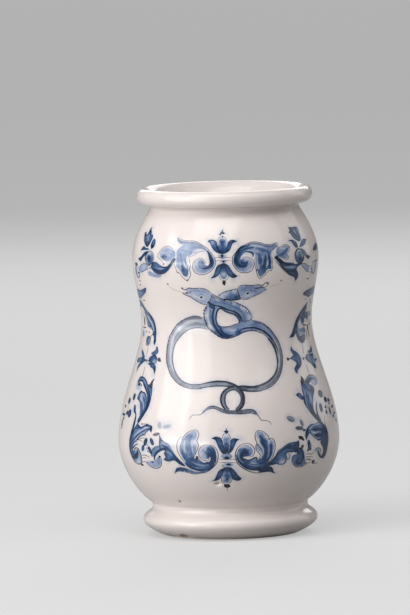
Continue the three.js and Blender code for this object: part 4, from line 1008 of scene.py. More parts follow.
# %% The lower scroll on the right
wash("15.9,73.6 -.7,-1.8 .1,-2.4 .8,-2.5 .9,-2.4 .8,-2.5 -.2,-2.4 0,-2.4 -1.3,-1.8 -1,-1.6 1.5,-2.2 3.2,0 "
     "2.3,3.2 1.4,3.2 .8,3.3 .1,3.2 -.6,2.6 -1,.3 -.8,-1.2 -.4,-1.6 -.4,2.6 -.4,2.4 -1.2,2 -1.9,1.5",
     "17,72.4,.3 .5,-2.1,.6 .5,-2.3,.85 .8,-2,.8 .7,-4,.65 .5,-4,.6 .5,-3.5,.8 -4.2,13.9,.3 4.3,1.6,.25 "
     "2.6,-7,.72 .2,3,.4 -1.6,-6,.6 1.7,-1,.5 -5.1,-2,.7 1.6,8,.6")
brush("17,71.2 .5,-2 .8,-2.2 1.1,-2.6 .7,-3.4 .1,-3.4 -1,-3.4", ".5 1.4 2 2.2 2.2 2.1 1.4", .84, soft=.9)
brush("23,65 0,-3.4 -.5,-3.6 -1.2,-3.2", "1 1.7 1.5 .7", .82, soft=.6)
brush("21.5,66 .3,-4 -.3,-3.6 -.9,-3", ".3 .7 .6 .3", .42, BARE, soft=.4)
brush("15.7,71.4 .2,-2.8 1,-3 1.3,-3.2 .1,-3.8 -1,-2.8", ".4 .8 .8 .7 .7 .4", .65, BARE, soft=.5)
brush("18.9,72 1.6,-2.4 .8,-2.8", ".4 .9 .4", .55, BARE, soft=.5)
brush("24,66 .3,-2.6 -.2,-3", ".3 .6 .3", .5, BARE, soft=.4)
wash("14.9,64.7 .6,.7 1.2,-1.7 1.2,-2 -.3,-1.7 -1.4,.8 -1.1,1.6", "16,63,.38")
wash("4.1,58 .3,3 1.3,2.4 2.3,1.5 2.5,-.2 1.7,-1.7 .6,-2.2 -.7,-2.1 -1.5,-1 -1.7,-.2 -.7,-.1 -1.4,-.6 "
     "-1.8,-.2",
     "8.6,61,.95 1.4,0,.75 1.7,0,.38 -3.7,3,.35 -2.5,-3,.55 -.8,-3.4,.7 6.1,5.8,.3 -3.8,-4.4,.9")
brush("8.2,62.4 .4,-1.6 1,-1", "1.4 2.4 1.6", .93, soft=.7)
brush("5.4,62.8 2,1.2 2.4,-.2", ".4 .9 .5", .4, BARE, soft=.5)
wash("3.9,59 -.1,-3 1.2,-2.6 1.8,-2.2 2.4,-2 2.8,-1.1 3.5,-.4 3.5,.4 2.8,1.5 1.6,1.8 -.8,2.2 -2.6,-1.2 "
     "-2.4,-.6 -1.6,1.2 -.6,1.8 -1,1.8 -1.4,-.4 -1.4,-.8 -1.8,-.1 -1.8,.7 -1,1.2 -1.4,.4",
     "5.4,55,.85 3.6,-3,.82 3,-1.5,.7 4,-1.5,.85 -1,2.8,.65 4,-1.2,.78 -9,3.6,.75 3,-.2,.4 -6,-.6,.75")
brush("7.2,60.6 -.7,-1.7 0,-1.9 .8,-1.4", "1 1.1 1 .6", .98)
brush("8,56 2,-.8 2,.3 1.5,1 1.3,.3* .3,-1.2 .2,-1.4", ".9 .8 .7 .8 .7 .7 .5", .85, INK, soft=.15)
brush("4.9,55.4 1.5,-2.9 2.8,-2.5 3.8,-1.4 4,0 3.6,1.1", ".5 1.1 1.3 1.3 1.3 .9", .95, soft=.4)
brush("5,60.8 0,-3.2 .9,-2.4 1.7,-1.8", ".4 .8 .8 .4", .42, BARE, soft=.4)
brush("9.6,52.6 3,-1.2 3.8,-.4 2.6,.6", ".3 .7 .7 .3", .35, BARE, soft=.4)
brush("11.2,53.2 2.4,-.4 2.2,-.5", ".3 .8 .4", .5, BARE, soft=.4)
pen("9,66.3 -2.6,-.9 -1.9,-2.1 -1.1,-2.8 -.2,-3 .5,-2.5 1.2,-2.5 1.5,-1.8 1.8,-1.5 2,-1.3 2.3,-1 2.5,-.7 "
    "3,.2 3,.4 2.5,-.3 1.5,-.7 1.2,-.5*", .65, .72)
pen("9,66.4 2,-.5 1.9,-1.9 .9,-2.5 -.4,-2.5 -1.3,-1.6 -1.6,-.3", .55, .65)
wash("16,48.2 3,1.1 2.5,.7 2,-.3 1.1,-1.3 .4,-1.5 1.2,-1.5* -1.7,.8 -2,.5 -2.5,-.1 -3,.2", "22,48.6,.95 "
     "-4,-.8,.9", rim=.08)
pen("16,74.3 -1.1,-.9 -.6,-1.9 -.1,-2 .5,-2 .4,-1.5 -.6,-1.5 0,-2 .7,-1.8 1.2,-1.5 .5,-1.4 -.5,-1.5 "
    "-1,-1.3", .55, .7)
pen("16,74.3 1.9,-.4 1.7,-1.2 1.5,-1.7 .9,-1.8 .1,-1.6* .7,.8 1,.3 1,-1.2 .6,-2 0,-2.5 -.3,-2.5 -.5,-2 "
    "-.7,-2 -1.3,-2.5 -1.5,-2 -1.1,-1.3", .55, .75)
pen("15.2,66 1.1,-1.9 1.2,-2.1 .6,-.8", .55, .82)
tell("lower scroll on the right")

# %% The round leaf on the left
wash("-40.6,71* 1.1,-2 1.5,-1.7 2.5,-1.3 2,-1.9 1.5,-2.6 1.5,-2.9 1.5,-2.1 1.5,-1.9 1.5,-1.6 1,-1.8* -1.6,.5 "
     "-1.4,.7 -1.5,1.4 -1.5,1.2 -2,-.2 -2,-.5 -2,.3 -1,.8 1.4,1.2 -.3,1.4 -.5,1.5 .9,1.3 -1.5,1 -1.8,-.2 "
     "-.6,2.4",
     "-36,63,.7 2,-5.5,.6 1.6,2.9,.45 2.4,-4.4,.9 2,-2.5,.88 -10,11.9,.4 1,-6.4,.75 2.4,1.6,.6 -5,8,.75 "
     "6.6,-13,.8", rim=.08)
brush("-39,64.8 3,-1.4 2.5,-2 1.9,-2.8 2.4,-3 2.8,-2.6", ".7 1.2 1.2 1.1 1.1 .6", .82, soft=.6)
brush("-36.6,57.8 2.4,-.8 2.4,.2", ".8 1.7 1", .62, soft=.8)
brush("-39.4,67 3.4,-1.6 3,-2.2 2,-3 1.4,-2.4", ".3 .8 .9 .8 .4", .5, BARE, soft=.5)
brush("-36.4,60.6 2.4,-.8 1.6,-1.2", ".3 .7 .3", .4, BARE, soft=.5)
pen("-38.2,55.4 1.6,-.8 1.6,-.3 1.2,-.7", .4, .5)
brush("-44.7,54.6 .2,2 1.3,2.2 2.2,1.9 2.2,1.2 2.5,.5 2.5,-.4", ".7 1.3 1.6 1.6 1.5 1.2 .6", .9)
wash("-46.6,57 .1,2.5 1.5,2.6 2.5,1.4 2.2,.6 1.7,-1.5 -2.4,-1.2 -2.6,-2 -1.3,-2.6", "-44.6,61,.5 3.6,2,.45")
pen("-46.8,56.8 .2,2.7 1.5,2.7 2.5,1.4 2.2,.6", .5, .65)
wash("-51.4,52.8 1.1,-1.6 2.3,-1.3 2.5,-.5 2.4,.4 1.7,1.4 .9,1.9 .2,2.3 -.6,1.9 -1.5,-1.1 -1.4,-1.6 -2.2,-1 "
     "-2.8,-.4",
     "-49,51.4,.28 4.4,-.4,.32 3.1,4,.42 -3.5,-2,.3 3,.6,.45")
pen("-51.8,52.6 1.4,-1.8 2.4,-1.5 2.5,-.5 2.5,.4 2.1,1.5 1,2.3 .2,2.5 -.5,1.9", .6, .65)
blob(-40.8, 57, .8, .8, .9, INK)
blob(-46.7, 53, 1.3, .6, .75)
pen("-55,56.8 3,.5 2,-.5 1.8,-.8", .55, .7)
pen("-55,55 2.5,.5 1.9,-.3", .45, .6)
pen("-55.5,52 2,.7 1.7,-.2 1.5,-1.5", .5, .65)
blob(-56, 50.4, 1.3, .8, .97, INK)
tell("round leaf on the left")

# %% The round leaf on the right
wash("36.2,54.4 .5,-2.2 1.5,-1.8 1.8,-1.3 2.5,-.5 2.3,.5 1.8,1.1 -1,2.8 -1,3 -1.2,2.6 -1.8,1.7 -1.9,.3 "
     "-1.3,-1 .8,-1.8 -1,-1.2 -1.4,-.8",
     "38,53,.5 3,-3.2,.6 3.8,1.8,.55 -6.4,4,.55 3.6,3,.8 -1.8,-5.6,.75")
brush("39.5,52.6 .9,-1.7 1.7,-.4 1.4,1.6 .4,2.9 -.5,3 -1.4,2.1 -1.9,.6 -1.1,-1.1 .9,-1.6 .5,-1.8", "1 1.4 "
      "1.5 1.5 1.6 1.5 1.3 1.2 1.1 1.1 .6", .93)
pen("36,54.6 .5,-2.6 1.5,-2.1 2,-1.4 2.5,-.5 2.5,.5 2,.9 1.6,.6", .6, .75)
pen("36,54.5 .8,1.6 1.6,.6 1.4,-.3", .5, .65)

wash("27.3,60.2 2.2,1.5 2,1.5 2,1.2 2.5,.5 2.5,.2 2.1,.5* 0,-3 -.8,-2.4 -1,-2 -1.8,.7 -1.6,-.3 -2,.6 "
     "-1.2,-1.6 .2,-1.6 .7,-1.4 -1.2,-.6 .5,-1.3 -1,-1.4 -1.4,-.4 -1.7,.2 -1.8,.6 -2.5,-.6 -2.2,.3* 1.2,2 "
     "1.5,2.1 1.5,2.1",
     "34,62.5,.9 -3,-1.5,.8 6,-.2,.9 -.5,3.2,.7 3.5,-2,.92 -13.5,-8,.75 1.5,3.2,.65 2,-.7,.6 -6.5,-4.2,.95 "
     "6.1,.3,.3 1.8,2,.5 -6.4,2.4,.8 4,2.6,.72", rim=.08)
brush("26.4,55.6 2,1.4 2.2,.6", "1 1.8 1", .6, soft=.8)
brush("28.6,52.4 2,0 1,1.8", ".5 .9 .4", .6, BARE, soft=.4)
brush("27.4,59.4 2.6,2 3.4,1.8 4,.7", ".3 .5 .6 .3", .35, BARE, soft=.3)
brush("30.4,59.4 3.2,1 3.8,-.8", ".3 .7 .3", .3, BARE, soft=.4)
wash("32.3,57.7 .1,-1.7 .6,-1.3 .8,-.7 .6,1 .3,1.4 -.6,1.5 -1,1.1", "33.5,56.2,.15")
pen("31.8,54 1.4,-.3 1.2,1.2 .3,1.4 -.6,1.6 -1.1,1.1", .5, .75)
brush("23.2,53.2 1.8,2.4 2,2.4 2.4,2.4 2.8,1.8 2.8,.8 3.4,.2", ".6 .9 .9 .8 1 1.2 .9", .9)
tell("round leaf on the right")

# %% [markdown]
# Between the lower scrolls and the sides stand small sprigs: a few dabs on a stem, each one
# press of a loaded brush.

# %% The sprigs beside the arches
blob(-51, 66, 1.4, 2.8, .85, turn=-20)
blob(-46, 66.5, 1.3, 2.6, .72, turn=25)
blob(-53.2, 61.8, 1.2, 2.2, .72, turn=-15)
blob(-47.5, 60.8, 1.2, 2.8, .76, turn=25)
wash("-45.6,71 1.8,1.4 2.2,.5 1.4,-.9 -1.4,-1.1 -2,-.6", "-43.4,71.4,.6", INK, soft=.25)
blob(-41, 77.5, 1.3, 2.2, .4, SLATE, turn=10)
blob(-36, 77, 2.9, 1.2, .34, SLATE, turn=15)
blob(-49.5, 64, .5, .6, .55)
blob(-49.8, 62, .5, .6, .6)
blob(-49.3, 60, .5, .6, .55)
wash("40.2,68.6* 2.2,.2 1.6,-1.4 .6,-2* -1.2,0 -.8,.8 -1.6,.4", "42.6,67.4,.95", INK, soft=.2)
blob(42.8, 61.4, 1, 1.8, .8, INK, turn=-30)
blob(41.6, 73.8, 2.8, 1.3, .75, SLATE, turn=-8)
blob(43.7, 77, 1.1, 2.5, .55, SLATE, turn=15)
blob(45, 72.2, 1.2, .8, .8)
blob(36.5, 80.3, 2.9, 1.8, .48, SLATE, turn=-30)
brush("34.2,81.3 1.4,-1.5 2,-1 1.4,0", ".3 .6 .6 .3", .6, INK, soft=.25)
tell("sprigs beside the arches")

# %% [markdown]
# On each side a long leaf climbs in an S from a curl at the bottom. The jar turns away there,
# so the shapes look narrow in the photograph and are drawn at their full width on the clay.

# %% The S-shaped leaf on the left
wash("-68,106.4 2,.5 3,-.3 2.5,-1 2,-1.4 1.5,-1.3 1.5,-.7 1.9,-.8 2,-.8 .5,-1.8 .2,-2.8 .1,-3 -.4,-3 -1,-3 "
     "-1.5,-2.5 -1.5,-2.5 -1.8,-2.2 -1.6,-2.2 -1,1.4 1,2.4 1.2,2.2 1.6,2.4 1.6,2.6 .8,2.8 -.5,3 -1.2,2.2 "
     "-1.9,2.2 -2,1.8 -2.5,2 -2.5,1.8 -3,-.2 -2,-1.4",
     "-66,106,.55 5,-1.4,.5 5,-3.6,.6 3.6,-3,.6 .4,-5,.65 -1,-5,.6 -2.6,-4.6,.7 -2.6,-4,.75", rim=.1)
brush("-69.2,103.4 2.2,1.5 2.8,.2 2.7,-1.6 2.5,-2 2,-1.9 2,-2.4 1.1,-2.6 .7,-3 -.2,-2.6", ".5 .9 1.1 1.2 1.1 "
      "1 1 .9 .9 .5", .88)
wash("-70,103 .5,-2.5 2.5,-1.7 2.5,.1 1.5,1.6 -.8,2.1 -2.2,1.2 -2.4,.2", "-66.5,101,.22 -2.5,1,.3")
blob(-66.5, 102.3, 1.5, 1.2, .88)
blob(-63.4, 102, .8, .6, .85)
pen("-70.2,103.6 2.2,3.2 2,.5 3,-.3 2.5,-1 2.1,-1.4 1.4,-1.3 1.5,-.7", .6, .75)
wash("-55.6,102.6 1,1 1.1,2 1.5,1.3 1,.3* -.8,-1.7 -.1,-2 .5,-2.5 -2,.4", "-53,103.8,.85", INK, soft=.2)
wash("-63.6,96.4 1.1,1.5 1,.4 1.5,-.7 2,-.2 1.7,-1.3 1.5,-2 1,-2.6 .3,-2.5 -.5,-2.5 -1.5,-2.5 -1.5,-2.5 "
     "-.8,1 -.7,3 -.8,3 -1.2,2.5 -2,1.5 -1.6,.5 -.1,1.6",
     "-57.5,93,.55 -3,3,.3 4,-8,.55 1.5,4,.6 -2.3,-8,.5 -6.1,9.8,.85 1.4,3.9,.8 2.4,-4.3,.4", rim=.1)
brush("-63.2,84.6 1,-2.2 -.1,-2.9 -.5,-3 -1,-3.5 -1.2,-4 -1,-4 -.2,-4 .7,-4 1.6,-2.8", ".6 1.5 1.9 2.1 2.2 "
      "2.3 2.2 2 1.8 .8", .92)
blob(-63, 84, .7, 1, .9, INK)
wash("-59.5,77.2 2,-1 1.5,-1.6 2.5,1.7 2.5,.8 2,-.2 1.6,-.8 .6,-.9 -1.2,-.8 -1.5,-1 -1.5,-1.4 -1.5,-1.1 "
     "-2.5,-.5 -1.5,-1 -1,-1.9 -2,-1.5 -2,-1.5 -1.3,-2.5 -.4,-2 -1.8,0 -.3,4 .8,4 1.9,4 1.8,3",
     "-51.5,74.5,.4 -2.5,-.5,.5 -4,-1,.55 -3,-4,.6 -2.5,-4,.75 7.5,6.3,.42 -3.6,-4.4,.4 10.6,8.7,.6 "
     "-10,.2,.7", rim=.1)
brush("-57.2,80 -1.8,-2.6 -2.4,-3 -1.6,-3 -1.7,-3.4 -1,-3.5", ".5 .8 .9 .8 .6 .5", .85)
pen("-65.9,61 .1,-3.5 .8,-3.1 1.5,-2.2 2.5,-1.4 2.5,-.2 2.2,1.1 1,2.3 -.1,3 -.9,2.6 -1.9,1.6 -2.1,-.2 "
    "-1.6,-1.8", .75, .8)
wash("-65.2,56.4 1.2,-2.8 2.6,-2.2 2.9,-.2 1.9,1.2 .8,2 -.2,2.6 -1,2.4 -1.6,1.2 -1.8,-.4 -1.8,-.6 -2.2,0",
     "-60.3,56,.8 1.3,-3.4,.18 -4.6,4.4,.7 6.6,-1,.45 -2.4,3.6,.35")
brush("-63.7,54.8 2.5,.6 2,1.4 1.2,2.6 .2,1", "1 1.5 1.5 1 .5", .95)
wash("-47.8,77.3 1.7,-.8* -.1,-2.1 -.5,-2 -1,1 -.6,1.4 1.3,.6", "-47,75,.85", INK, soft=.2)
pen("-55.6,77.8 2.6,-.2 2.4,.4", .45, .65)
pen("-61,64.6 3,2.3 3,-.3 2,-.4", .5, .6)
brush("-62.6,61.2 2.1,1.8 2.5,1.1", "1.1 .9 .5", .9)
pen("-62,60.2 2,1.3 2.6,-.4 1.7,-2.2", .6, .8)
tell("S-shaped leaf on the left")

# %% The S-shaped leaf on the right
wash("50.2,104.4 -.7,-3.4 -.4,-3 .1,-3 -.4,-3 -.4,-2 1,-2.5 1.1,-2.1 1.5,-2.4 1.5,-2.2 1.5,-1.8 2,-2 2,-1.6 "
     "1.8,-1.1 -.8,2.9 -2,3 -2,2 -.8,2.6 .2,3.2 .8,2.5 1.4,2.5 1.6,2.3* 1.4,1.9 -.2,1.7 -2.1,1 -1.3,1.3 "
     "-1.4,2.4 -1.4,0 -1.4,-2 -1.8,-.2",
     "53,96,.6 2.5,1.2,.65 -2,-6.2,.55 -2.5,2,.75 1,-7,.85 2,-4,.9 4.8,15,.9 -7.6,2.6,.7 -.4,-10.6,.8 "
     "6.2,-10,.85", rim=.1)
wash("51,107.2* 1.4,-1.2 1,-2 -.7,-2 -1.7,-.6 -.8,2.1 .4,2.1", "51.7,104,.88", INK, soft=.2)
wash("53.2,102.2 1.8,1.8 3,1.6 3,.6 2.5,-.4 2.3,-.9 1,-1.4 -.6,-1.8 -1.8,-1 -2.4,-.4 -2,.5 0,-1.4 -2.6,1.4 "
     "-1.8,2.6",
     "62,102.4,.2 3.6,1.2,.45 -8.1,.4,.75 2.5,1.2,.5 -.6,-3.6,.4")
brush("55.4,101.8 2.4,1.5 2.7,1 2.7,-.4", ".9 1.6 1.6 .8", .95)
pen("53,102.2 2,2.2 3,1.7 3,.6 2.5,-.4 2.6,-1 1.2,-1.8 -.7,-2.1 -2.1,-1.2 -2.5,-.3", .6, .78)
brush("60,89.2 -1.3,-2.2 -.7,-2.5 0,-2.5 .6,-2.2 1.6,-2.5", ".5 1.2 1.4 1.3 1.1 .5", .85)
wash("43.3,95.2* 1.7,1 1.5,-.1 1.1,-1.2 1.2,-1.9 -.7,-1.3 -1.6,.7 -1.5,1.3", "46,94.6,.6 -2,.6,.8", rim=.1)
wash("46,66.2 -.2,2.8 1,3 1.7,2.1 2.5,1.3 3,-.1 3,.7 2.5,.4 2.1,-1.9 2,-2.1 2,-2.4 .7,-4 -.4,-4 -1,-3.5 "
     "-.8,-3.5 -1.2,-2.6 -1.9,-.5 -1,1.6 .8,2.5 -.5,3 -1.3,2 -1,1.4 0,1.8 -2,.1 -2,1.3 -2,1.4 -1.6,1.6 "
     "-1.4,1.3 -1.6,-1.5",
     "53.5,72,.8 3.5,-.5,.75 -1,-3.9,.7 6,-.6,.9 1,-6,.9 -3,4.6,.85 -9.5,6.9,.5 11.5,-18.1,.95 -2.6,8.2,.88 "
     "-6.9,6.8,.35 5.3,5.2,.6 -10.6,-4,.7", rim=.08)
brush("46,66 -.1,3 1.3,3.2 1.6,2", ".6 1.2 1.3 .6", .85, INK, soft=.2)
pen("50.4,68.8 2,-1.8 2.6,-1.8 3,-.9", .55, .75)
brush("58.2,64.2 1.4,2.8 1.4,3 .2,3.4", ".5 .8 .9 .5", .9)
pen("65,79.6* -.5,-1.6 -.5,-2 .3,-2.5 .8,-2.5 1,-3 .3,-3 -.3,-3 -1,-3 -.5,-3 -.8,-2.6 -1.8,-1.7", .7, .8)
blob(48.3, 62, 1.3, 3.8, .66, turn=15)
blob(47, 58.6, .7, .9, .85, INK)
pen("52.4,58 1.6,1.2 2,.2 2,-.8 .5,-2 .4,-2", .6, .75)
brush("55.6,57 1.3,-1.9 1.9,-1.8 2.4,-1.1", ".9 1.6 1.7 .9", .95)
wash("52.6,57.6 1.4,1.1 2,.2 1.6,-.9 .3,-2.4 -1.7,.4 -1.8,1.2", "55,58,.35")
pen("45.5,56.3 2.5,.1 2,-.5 2.5,1", .5, .72)
pen("45.5,54.5 3,-.2 3,-.5", .5, .72)
brush("46.5,53 2,-.4 2.1,-.9", ".6 .8 .6", .85, INK)
blob(52.7, 50.5, 1.3, 1.4, .98, INK)
pen("52,49.9 2.5,-.6 2.7,-.1", .5, .75)
pen("45.8,50.4 2.2,-.3 2.6,.1", .45, .7)
brush("-56.6,101.4 2.6,-2.8 1.5,-4 0,-4.2 -1.1,-4.2 -2,-3.8 -2,-3 -2,-2.6", ".5 1.2 1.7 1.8 1.7 1.5 1.2 .5",
      .95, soft=.4)
brush("-63.8,104 1.4,-.8 .8,-2", ".5 1 .5", .7, BARE, soft=.4)
brush("-59.6,95.6 2.1,-1.6 1.4,-2.6 .7,-3.4", ".4 .9 .9 .4", .78, soft=.4)
brush("-60.8,92 1.9,-.8 1.5,-2.4 .7,-3.6 -.1,-3.2", ".4 .9 1 1 .5", .82, soft=.4)
brush("-58.6,93 1.8,-2.4 1,-3.8", ".4 .9 .4", .5, BARE, soft=.5)
brush("-60.8,94.4 1.4,-1.7 1.2,-1.5", ".4 .8 .4", .5, BARE, soft=.4)
pen("-64,96.2 1.6,2 2,-.4 2.2,-.3 2,-1.2 1.6,-2.1", .75, .8)
brush("-47.8,77 -3.2,-.3 -3,-1.3 -3,-.4 -3,-1.2", ".5 .9 .8 .9 .5", .88, soft=.4)
brush("-49.6,74.6 -3.4,-1.4 -3.6,-2.2 -3.8,-2.8 -3.2,-2.8", ".5 1.1 1.2 1.3 .8", .8, soft=.5)
brush("-48.6,75.9 -3.2,-.7 -3.2,-1.8 -3.8,-2.2 -3.2,-2.8", ".4 1 1 .9 .4", .5, BARE, soft=.4)
brush("-52,72.1 -3.4,-1.5 -3.4,-3 -2.8,-2.4", ".4 .8 .8 .4", .45, BARE, soft=.4)
brush("-50.8,70.7 -3.2,-.7 -3.4,-2 -3.2,-2.8", ".4 .7 .8 .5", .8, INK, soft=.2)
pen("-51.4,68.6 -3.2,-.4 -3,-1.3", .5, .6)
blob(-55, 77.4, .9, .5, .7, INK)
blob(-57.6, 76, 1, .6, .9)
blob(-50.4, 77.5, 1.1, .4, .7, INK)
brush("-64.4,54.6 2.2,.4 2,1 1.4,1.6 .4,2", "1.6 2.4 2.6 2 1", .98, soft=.5)
brush("-58.4,53.2 1.2,1.8 .2,2.4", ".6 1 .5", .5, BARE, soft=.5)
brush("49.8,100.6 .8,-3.6 -.2,-4.4 0,-4 1.6,-4", ".3 .9 1.1 .9 .4", .45, BARE, soft=.5)
brush("52.4,101.4 1.2,-3 2.2,-1.4 2.6,.6", ".5 1.1 1.3 .6", .93, soft=.4)
brush("51.9,96.6 .9,-4 -.2,-3.8", ".5 1.1 .5", .9, soft=.4)
brush("54.8,95.6 .2,-3.2 -.4,-2.8", ".4 .9 .4", .5, BARE, soft=.5)
brush("53.2,87.6 .8,-3.6 1.8,-3.2 2.4,-2.8 2.6,-3", "1 2.1 2.2 2.2 1", .98, soft=.4)
blob(58.7, 101.3, 1.4, .9, .9, BARE, soft=.6)
brush("61,75.4 1.9,-3 1.1,-3.8 .2,-4.2 -.5,-4.4 -.8,-4 -1.2,-3.2", "1 2.2 2.8 3.2 3.2 2.4 1", .98, soft=.5)
brush("49.2,72.6 3.2,1.8 3.6,.6 3,0", ".4 1 1 .4", .55, BARE, soft=.4)
brush("51,72.2 3,-.5 3.4,.1 2.6,-.8", ".7 1.5 1.6 .8", .95, soft=.5)
brush("50.2,70.7 3.2,-1 3,.2 2.2,-.5", ".4 .9 .8 .4", .55, BARE, soft=.4)
brush("52.6,68.4 3,-.8 3.2,-.2", ".8 1.9 1", .93, soft=.5)
brush("51.6,67.8 3,-1.8 3.2,-.8", ".3 .8 .4", .5, BARE, soft=.3)
brush("47.8,59.4 -.2,2.6 .8,3", "1.6 1.2 .5", .75, INK, soft=.4)
tell("S-shaped leaf on the right")

# %% [markdown]
# Bunches of berries fill the space outside the S-shaped leaves. Most are darker round their
# outline, where the pigment pooled.

# %% The berries beside the side leaves
blob(-68.8, 94, 1.7, 2.3, .9)
blob(-74.8, 90.8, 2, 2.1, .9)
blob(-80, 86.8, 2, 1.1, .6, INK)
blob(-64.8, 86.5, 1.3, 2.9, .76, turn=20)
blob(-70.5, 83, 2.5, 2.7, .8)
blob(-74.2, 83, 1.9, 1.4, .8)
blob(-80.5, 81.4, 3.8, .8, .95)
blob(-81, 75, 1.7, 3.8, .6, INK)
blob(-79, 79, 1.1, 1.1, .9)
blob(66.5, 93.8, 2.8, 2.5, .95)
blob(71, 89.5, 2.2, 1.9, .9)
blob(75.8, 88.6, 2.1, 1.3, .96)
blob(75, 86.5, 1.6, .5, .9)
blob(63, 85, 1.8, 3.1, .95)
blob(68.5, 84.8, 1.1, 1, .96)
blob(68.3, 81.5, 1.4, 1.3, .95)
blob(73.8, 82, 1.2, 2.7, .86)
blob(80, 84, 2.7, 1.1, .7, INK)
blob(82, 79.5, 2.8, .8, .85)
blob(78, 78, 1.5, 1.1, .95)
blob(83, 74.5, 1.9, 1.3, .8)
tell("berries beside the side leaves")

# %% [markdown]
# Under the shoulder a long leaf hangs down each side and ends in a curl, with a thin stem of
# short dashes below it.

# %% The long leaf on the left
wash("-86,155.8 6,.2 3,-1.1 2.5,-1.8 2.5,-1.6 3,-1.7 2.5,-1 2.5,-1.8 2.5,-2 1.5,-2 1,-2 .7,-2.5 .5,-2.5 "
     ".3,-3 -.1,-3 -.9,-1.7* -1.2,1.7 -.1,2.5 -.8,1.7 -1.4,1 0,2.2 -2,2.2 -2,-.1 -3,.3 -1.5,1.2 -.3,2.5 "
     "-1.7,2.5 -1.5,2.5 -2.2,2.7 -3.8,1.4 -6,0",
     "-82,154.4,.7 6,-1.4,.75 5,-4,.6 4,-5.6,.55 5,-1.8,.6 2.6,-5.6,.8 1,-5,.9 -5.6,14.4,.75 3,-7.4,.6 "
     "-8.6,3.6,.6", rim=.1)
brush("-68,149 3,-1.8 3,-2.4 2,-2.8 1.3,-3.4 .6,-4 -.1,-3.6", ".5 .8 .9 .9 1 .9 .5", .88)
pen("-66.4,139 2.9,-.7 1.9,-.9", .5, .65)
pen("-60.6,134.3 -1.4,.7 -2,-1.3 -1.2,-2.1", .7, .75)
blob(-67.5, 130.8, 3.3, 2.5, .45)
pen("-64.2,131 -.8,1.6 -2.4,.7 -2.6,-.7 -1,-1.8 1,-1.8 2.5,-.8 2.3,.8", .8, .85)
pen("-72,128.5 2,-.9 2,-.1 2,.5 1.4,1.6", .5, .65)
blob(-76.8, 142.8, 1.7, 3.1, .6, INK)
brush("-82,138.6 4,.2 3,-.1 2,.1", ".5 .7 .9 .5", .75, INK)
blob(-72.5, 136.3, 1.4, .7, .4, INK)
blob(-67.5, 136.2, 1.3, .6, .4, INK)
blob(-79, 134.5, 2.5, 2, .35)
brush("-66.6,126.4 .1,-3 .2,-3", "1.2 1.5 1.2", .25, INK, soft=.35)
brush("-65.2,113.4 .2,-3.2 .2,-3", "1.2 1.5 1", .25, INK, soft=.35)
blob(-72, 157.1, 2, .5, .7, INK)
tell("long leaf on the left")

# %% The long leaf on the right
wash("71.7,153.7* -5.2,-2.8 -5.5,-3.9 -4.5,-4 -2.7,-5 -2.8,-3.7 -3,-2.2* 4.5,.5 2.7,2 .6,-2.5 2.2,-3 3,-1.4 "
     "3,.6 2.5,2.1 .7,2.2 -3.2,.3 -3,-.8 -2.5,1 -1,2.4 -.2,3 .7,3 2,2.1 2.5,.7 1.5,-2.7 1.5,-1.4 1.5,1.2 "
     "1,2.1 3,-.4 3,-.4 .7,2.3 -1.1,2.4 -1.6,.2 -1.5,-1.1 -1,1.5 1.3,3",
     "55.6,137.6,.95 4.4,8,.85 6,3.4,.9 -.6,-4.5,.75 -3.4,-14.5,.9 -4,1,.9 15.2,14.4,.8 -.7,-1.8,.95 "
     "-2.5,8,.95 -18,-18,.9 14,8.4,.8 3.6,3.6,.8", rim=.08)
wash("58.5,133.6 2.5,-1 3,.7 3,.1 1.6,2.1 -1.6,1.8 -3.5,0 -3,-.3 -1.5,1.5 .5,3 2,1.1 1.3,-2.1 2.2,-1.5 2.6,0 "
     "-1.6,1 -2,1.6 -1.5,2.4 -2.5,-.8 -1.8,-2 -.7,-2.7 .2,-2.9",
     "62,135,.45 4,0,.5 -6.8,2,.4 1.4,5.2,.45")
brush("66.4,138.3 2.1,.7 2.1,-.5", ".5 .9 .5", .88, INK)
blob(73, 137, 1.1, 2.4, .8, INK)
blob(78, 139, 1.6, .9, .85)
blob(79, 145.5, 3, 1.7, .6)
pen("67.5,141.9 6.5,0 10,-.3", .4, .35)
pen("68,140.8 6,.1 10,-.3", .4, .35)
blob(70.6, 157.2, .9, .5, .85, INK)
blob(67, 156, .9, .5, .75, INK)
brush("75.6,155.4 2.4,-1.6 3,-1.6", ".5 1 .6", .75)
brush("61,127.2 -.4,-3.2 -.6,-3", "1.1 1.4 1.1", .25, INK, soft=.35)
brush("60,113.2 -.1,-3.6 .1,-3.2", "1.1 1.4 1", .25, INK, soft=.35)
brush("-69.6,150 4.2,-2.4 3.6,-2.8 2.1,-3.2 1.3,-4 .5,-4.2", ".6 1.5 1.8 1.8 1.5 .8", .96, soft=.4)
brush("-71,147.2 3.4,-1.8 3.2,-2.4 2.2,-2.8 1.2,-3.2", ".5 1.1 1.3 1.2 .5", .65, BARE, soft=.5)
brush("-69,143.4 3,-1.6 2.6,-3", ".5 .9 .5", .6, INK, soft=.3)
pen("-77,149.8 2.4,-3.2 2,-3.2 1.2,-2", .7, .8)
pen("-80,149 2.4,-4 1.6,-4", .9, .85)
brush("-67.4,132.6 -1.6,-1.6 .4,-1.6", ".8 1.3 .7", .85, soft=.4)
brush("48.8,132.6 2.8,2.2 2.8,3.6 2.6,4 4.4,4.2 5.2,3.8 4.8,3", ".6 1.6 2.3 2.5 2.3 2 1", .98, soft=.4)
brush("57,133.6 1.6,-2.8 2.4,-1.9 3,.7 2.2,2", ".6 1.4 1.5 1.4 .6", .97, soft=.4)
brush("60.2,145 2.4,1.4 3.4,2.2", ".4 .9 .4", .45, BARE, soft=.4)
brush("59.6,134.4 3,-.2 3,.2", ".4 1 .4", .45, BARE, soft=.4)
pen("58.2,141.6 1.8,2.2 2.4,.7 1.8,-2.7 1.6,-1.6", .8, .8)
pen("66.6,146 2.8,2.4 3.2,2.2", .9, .85)
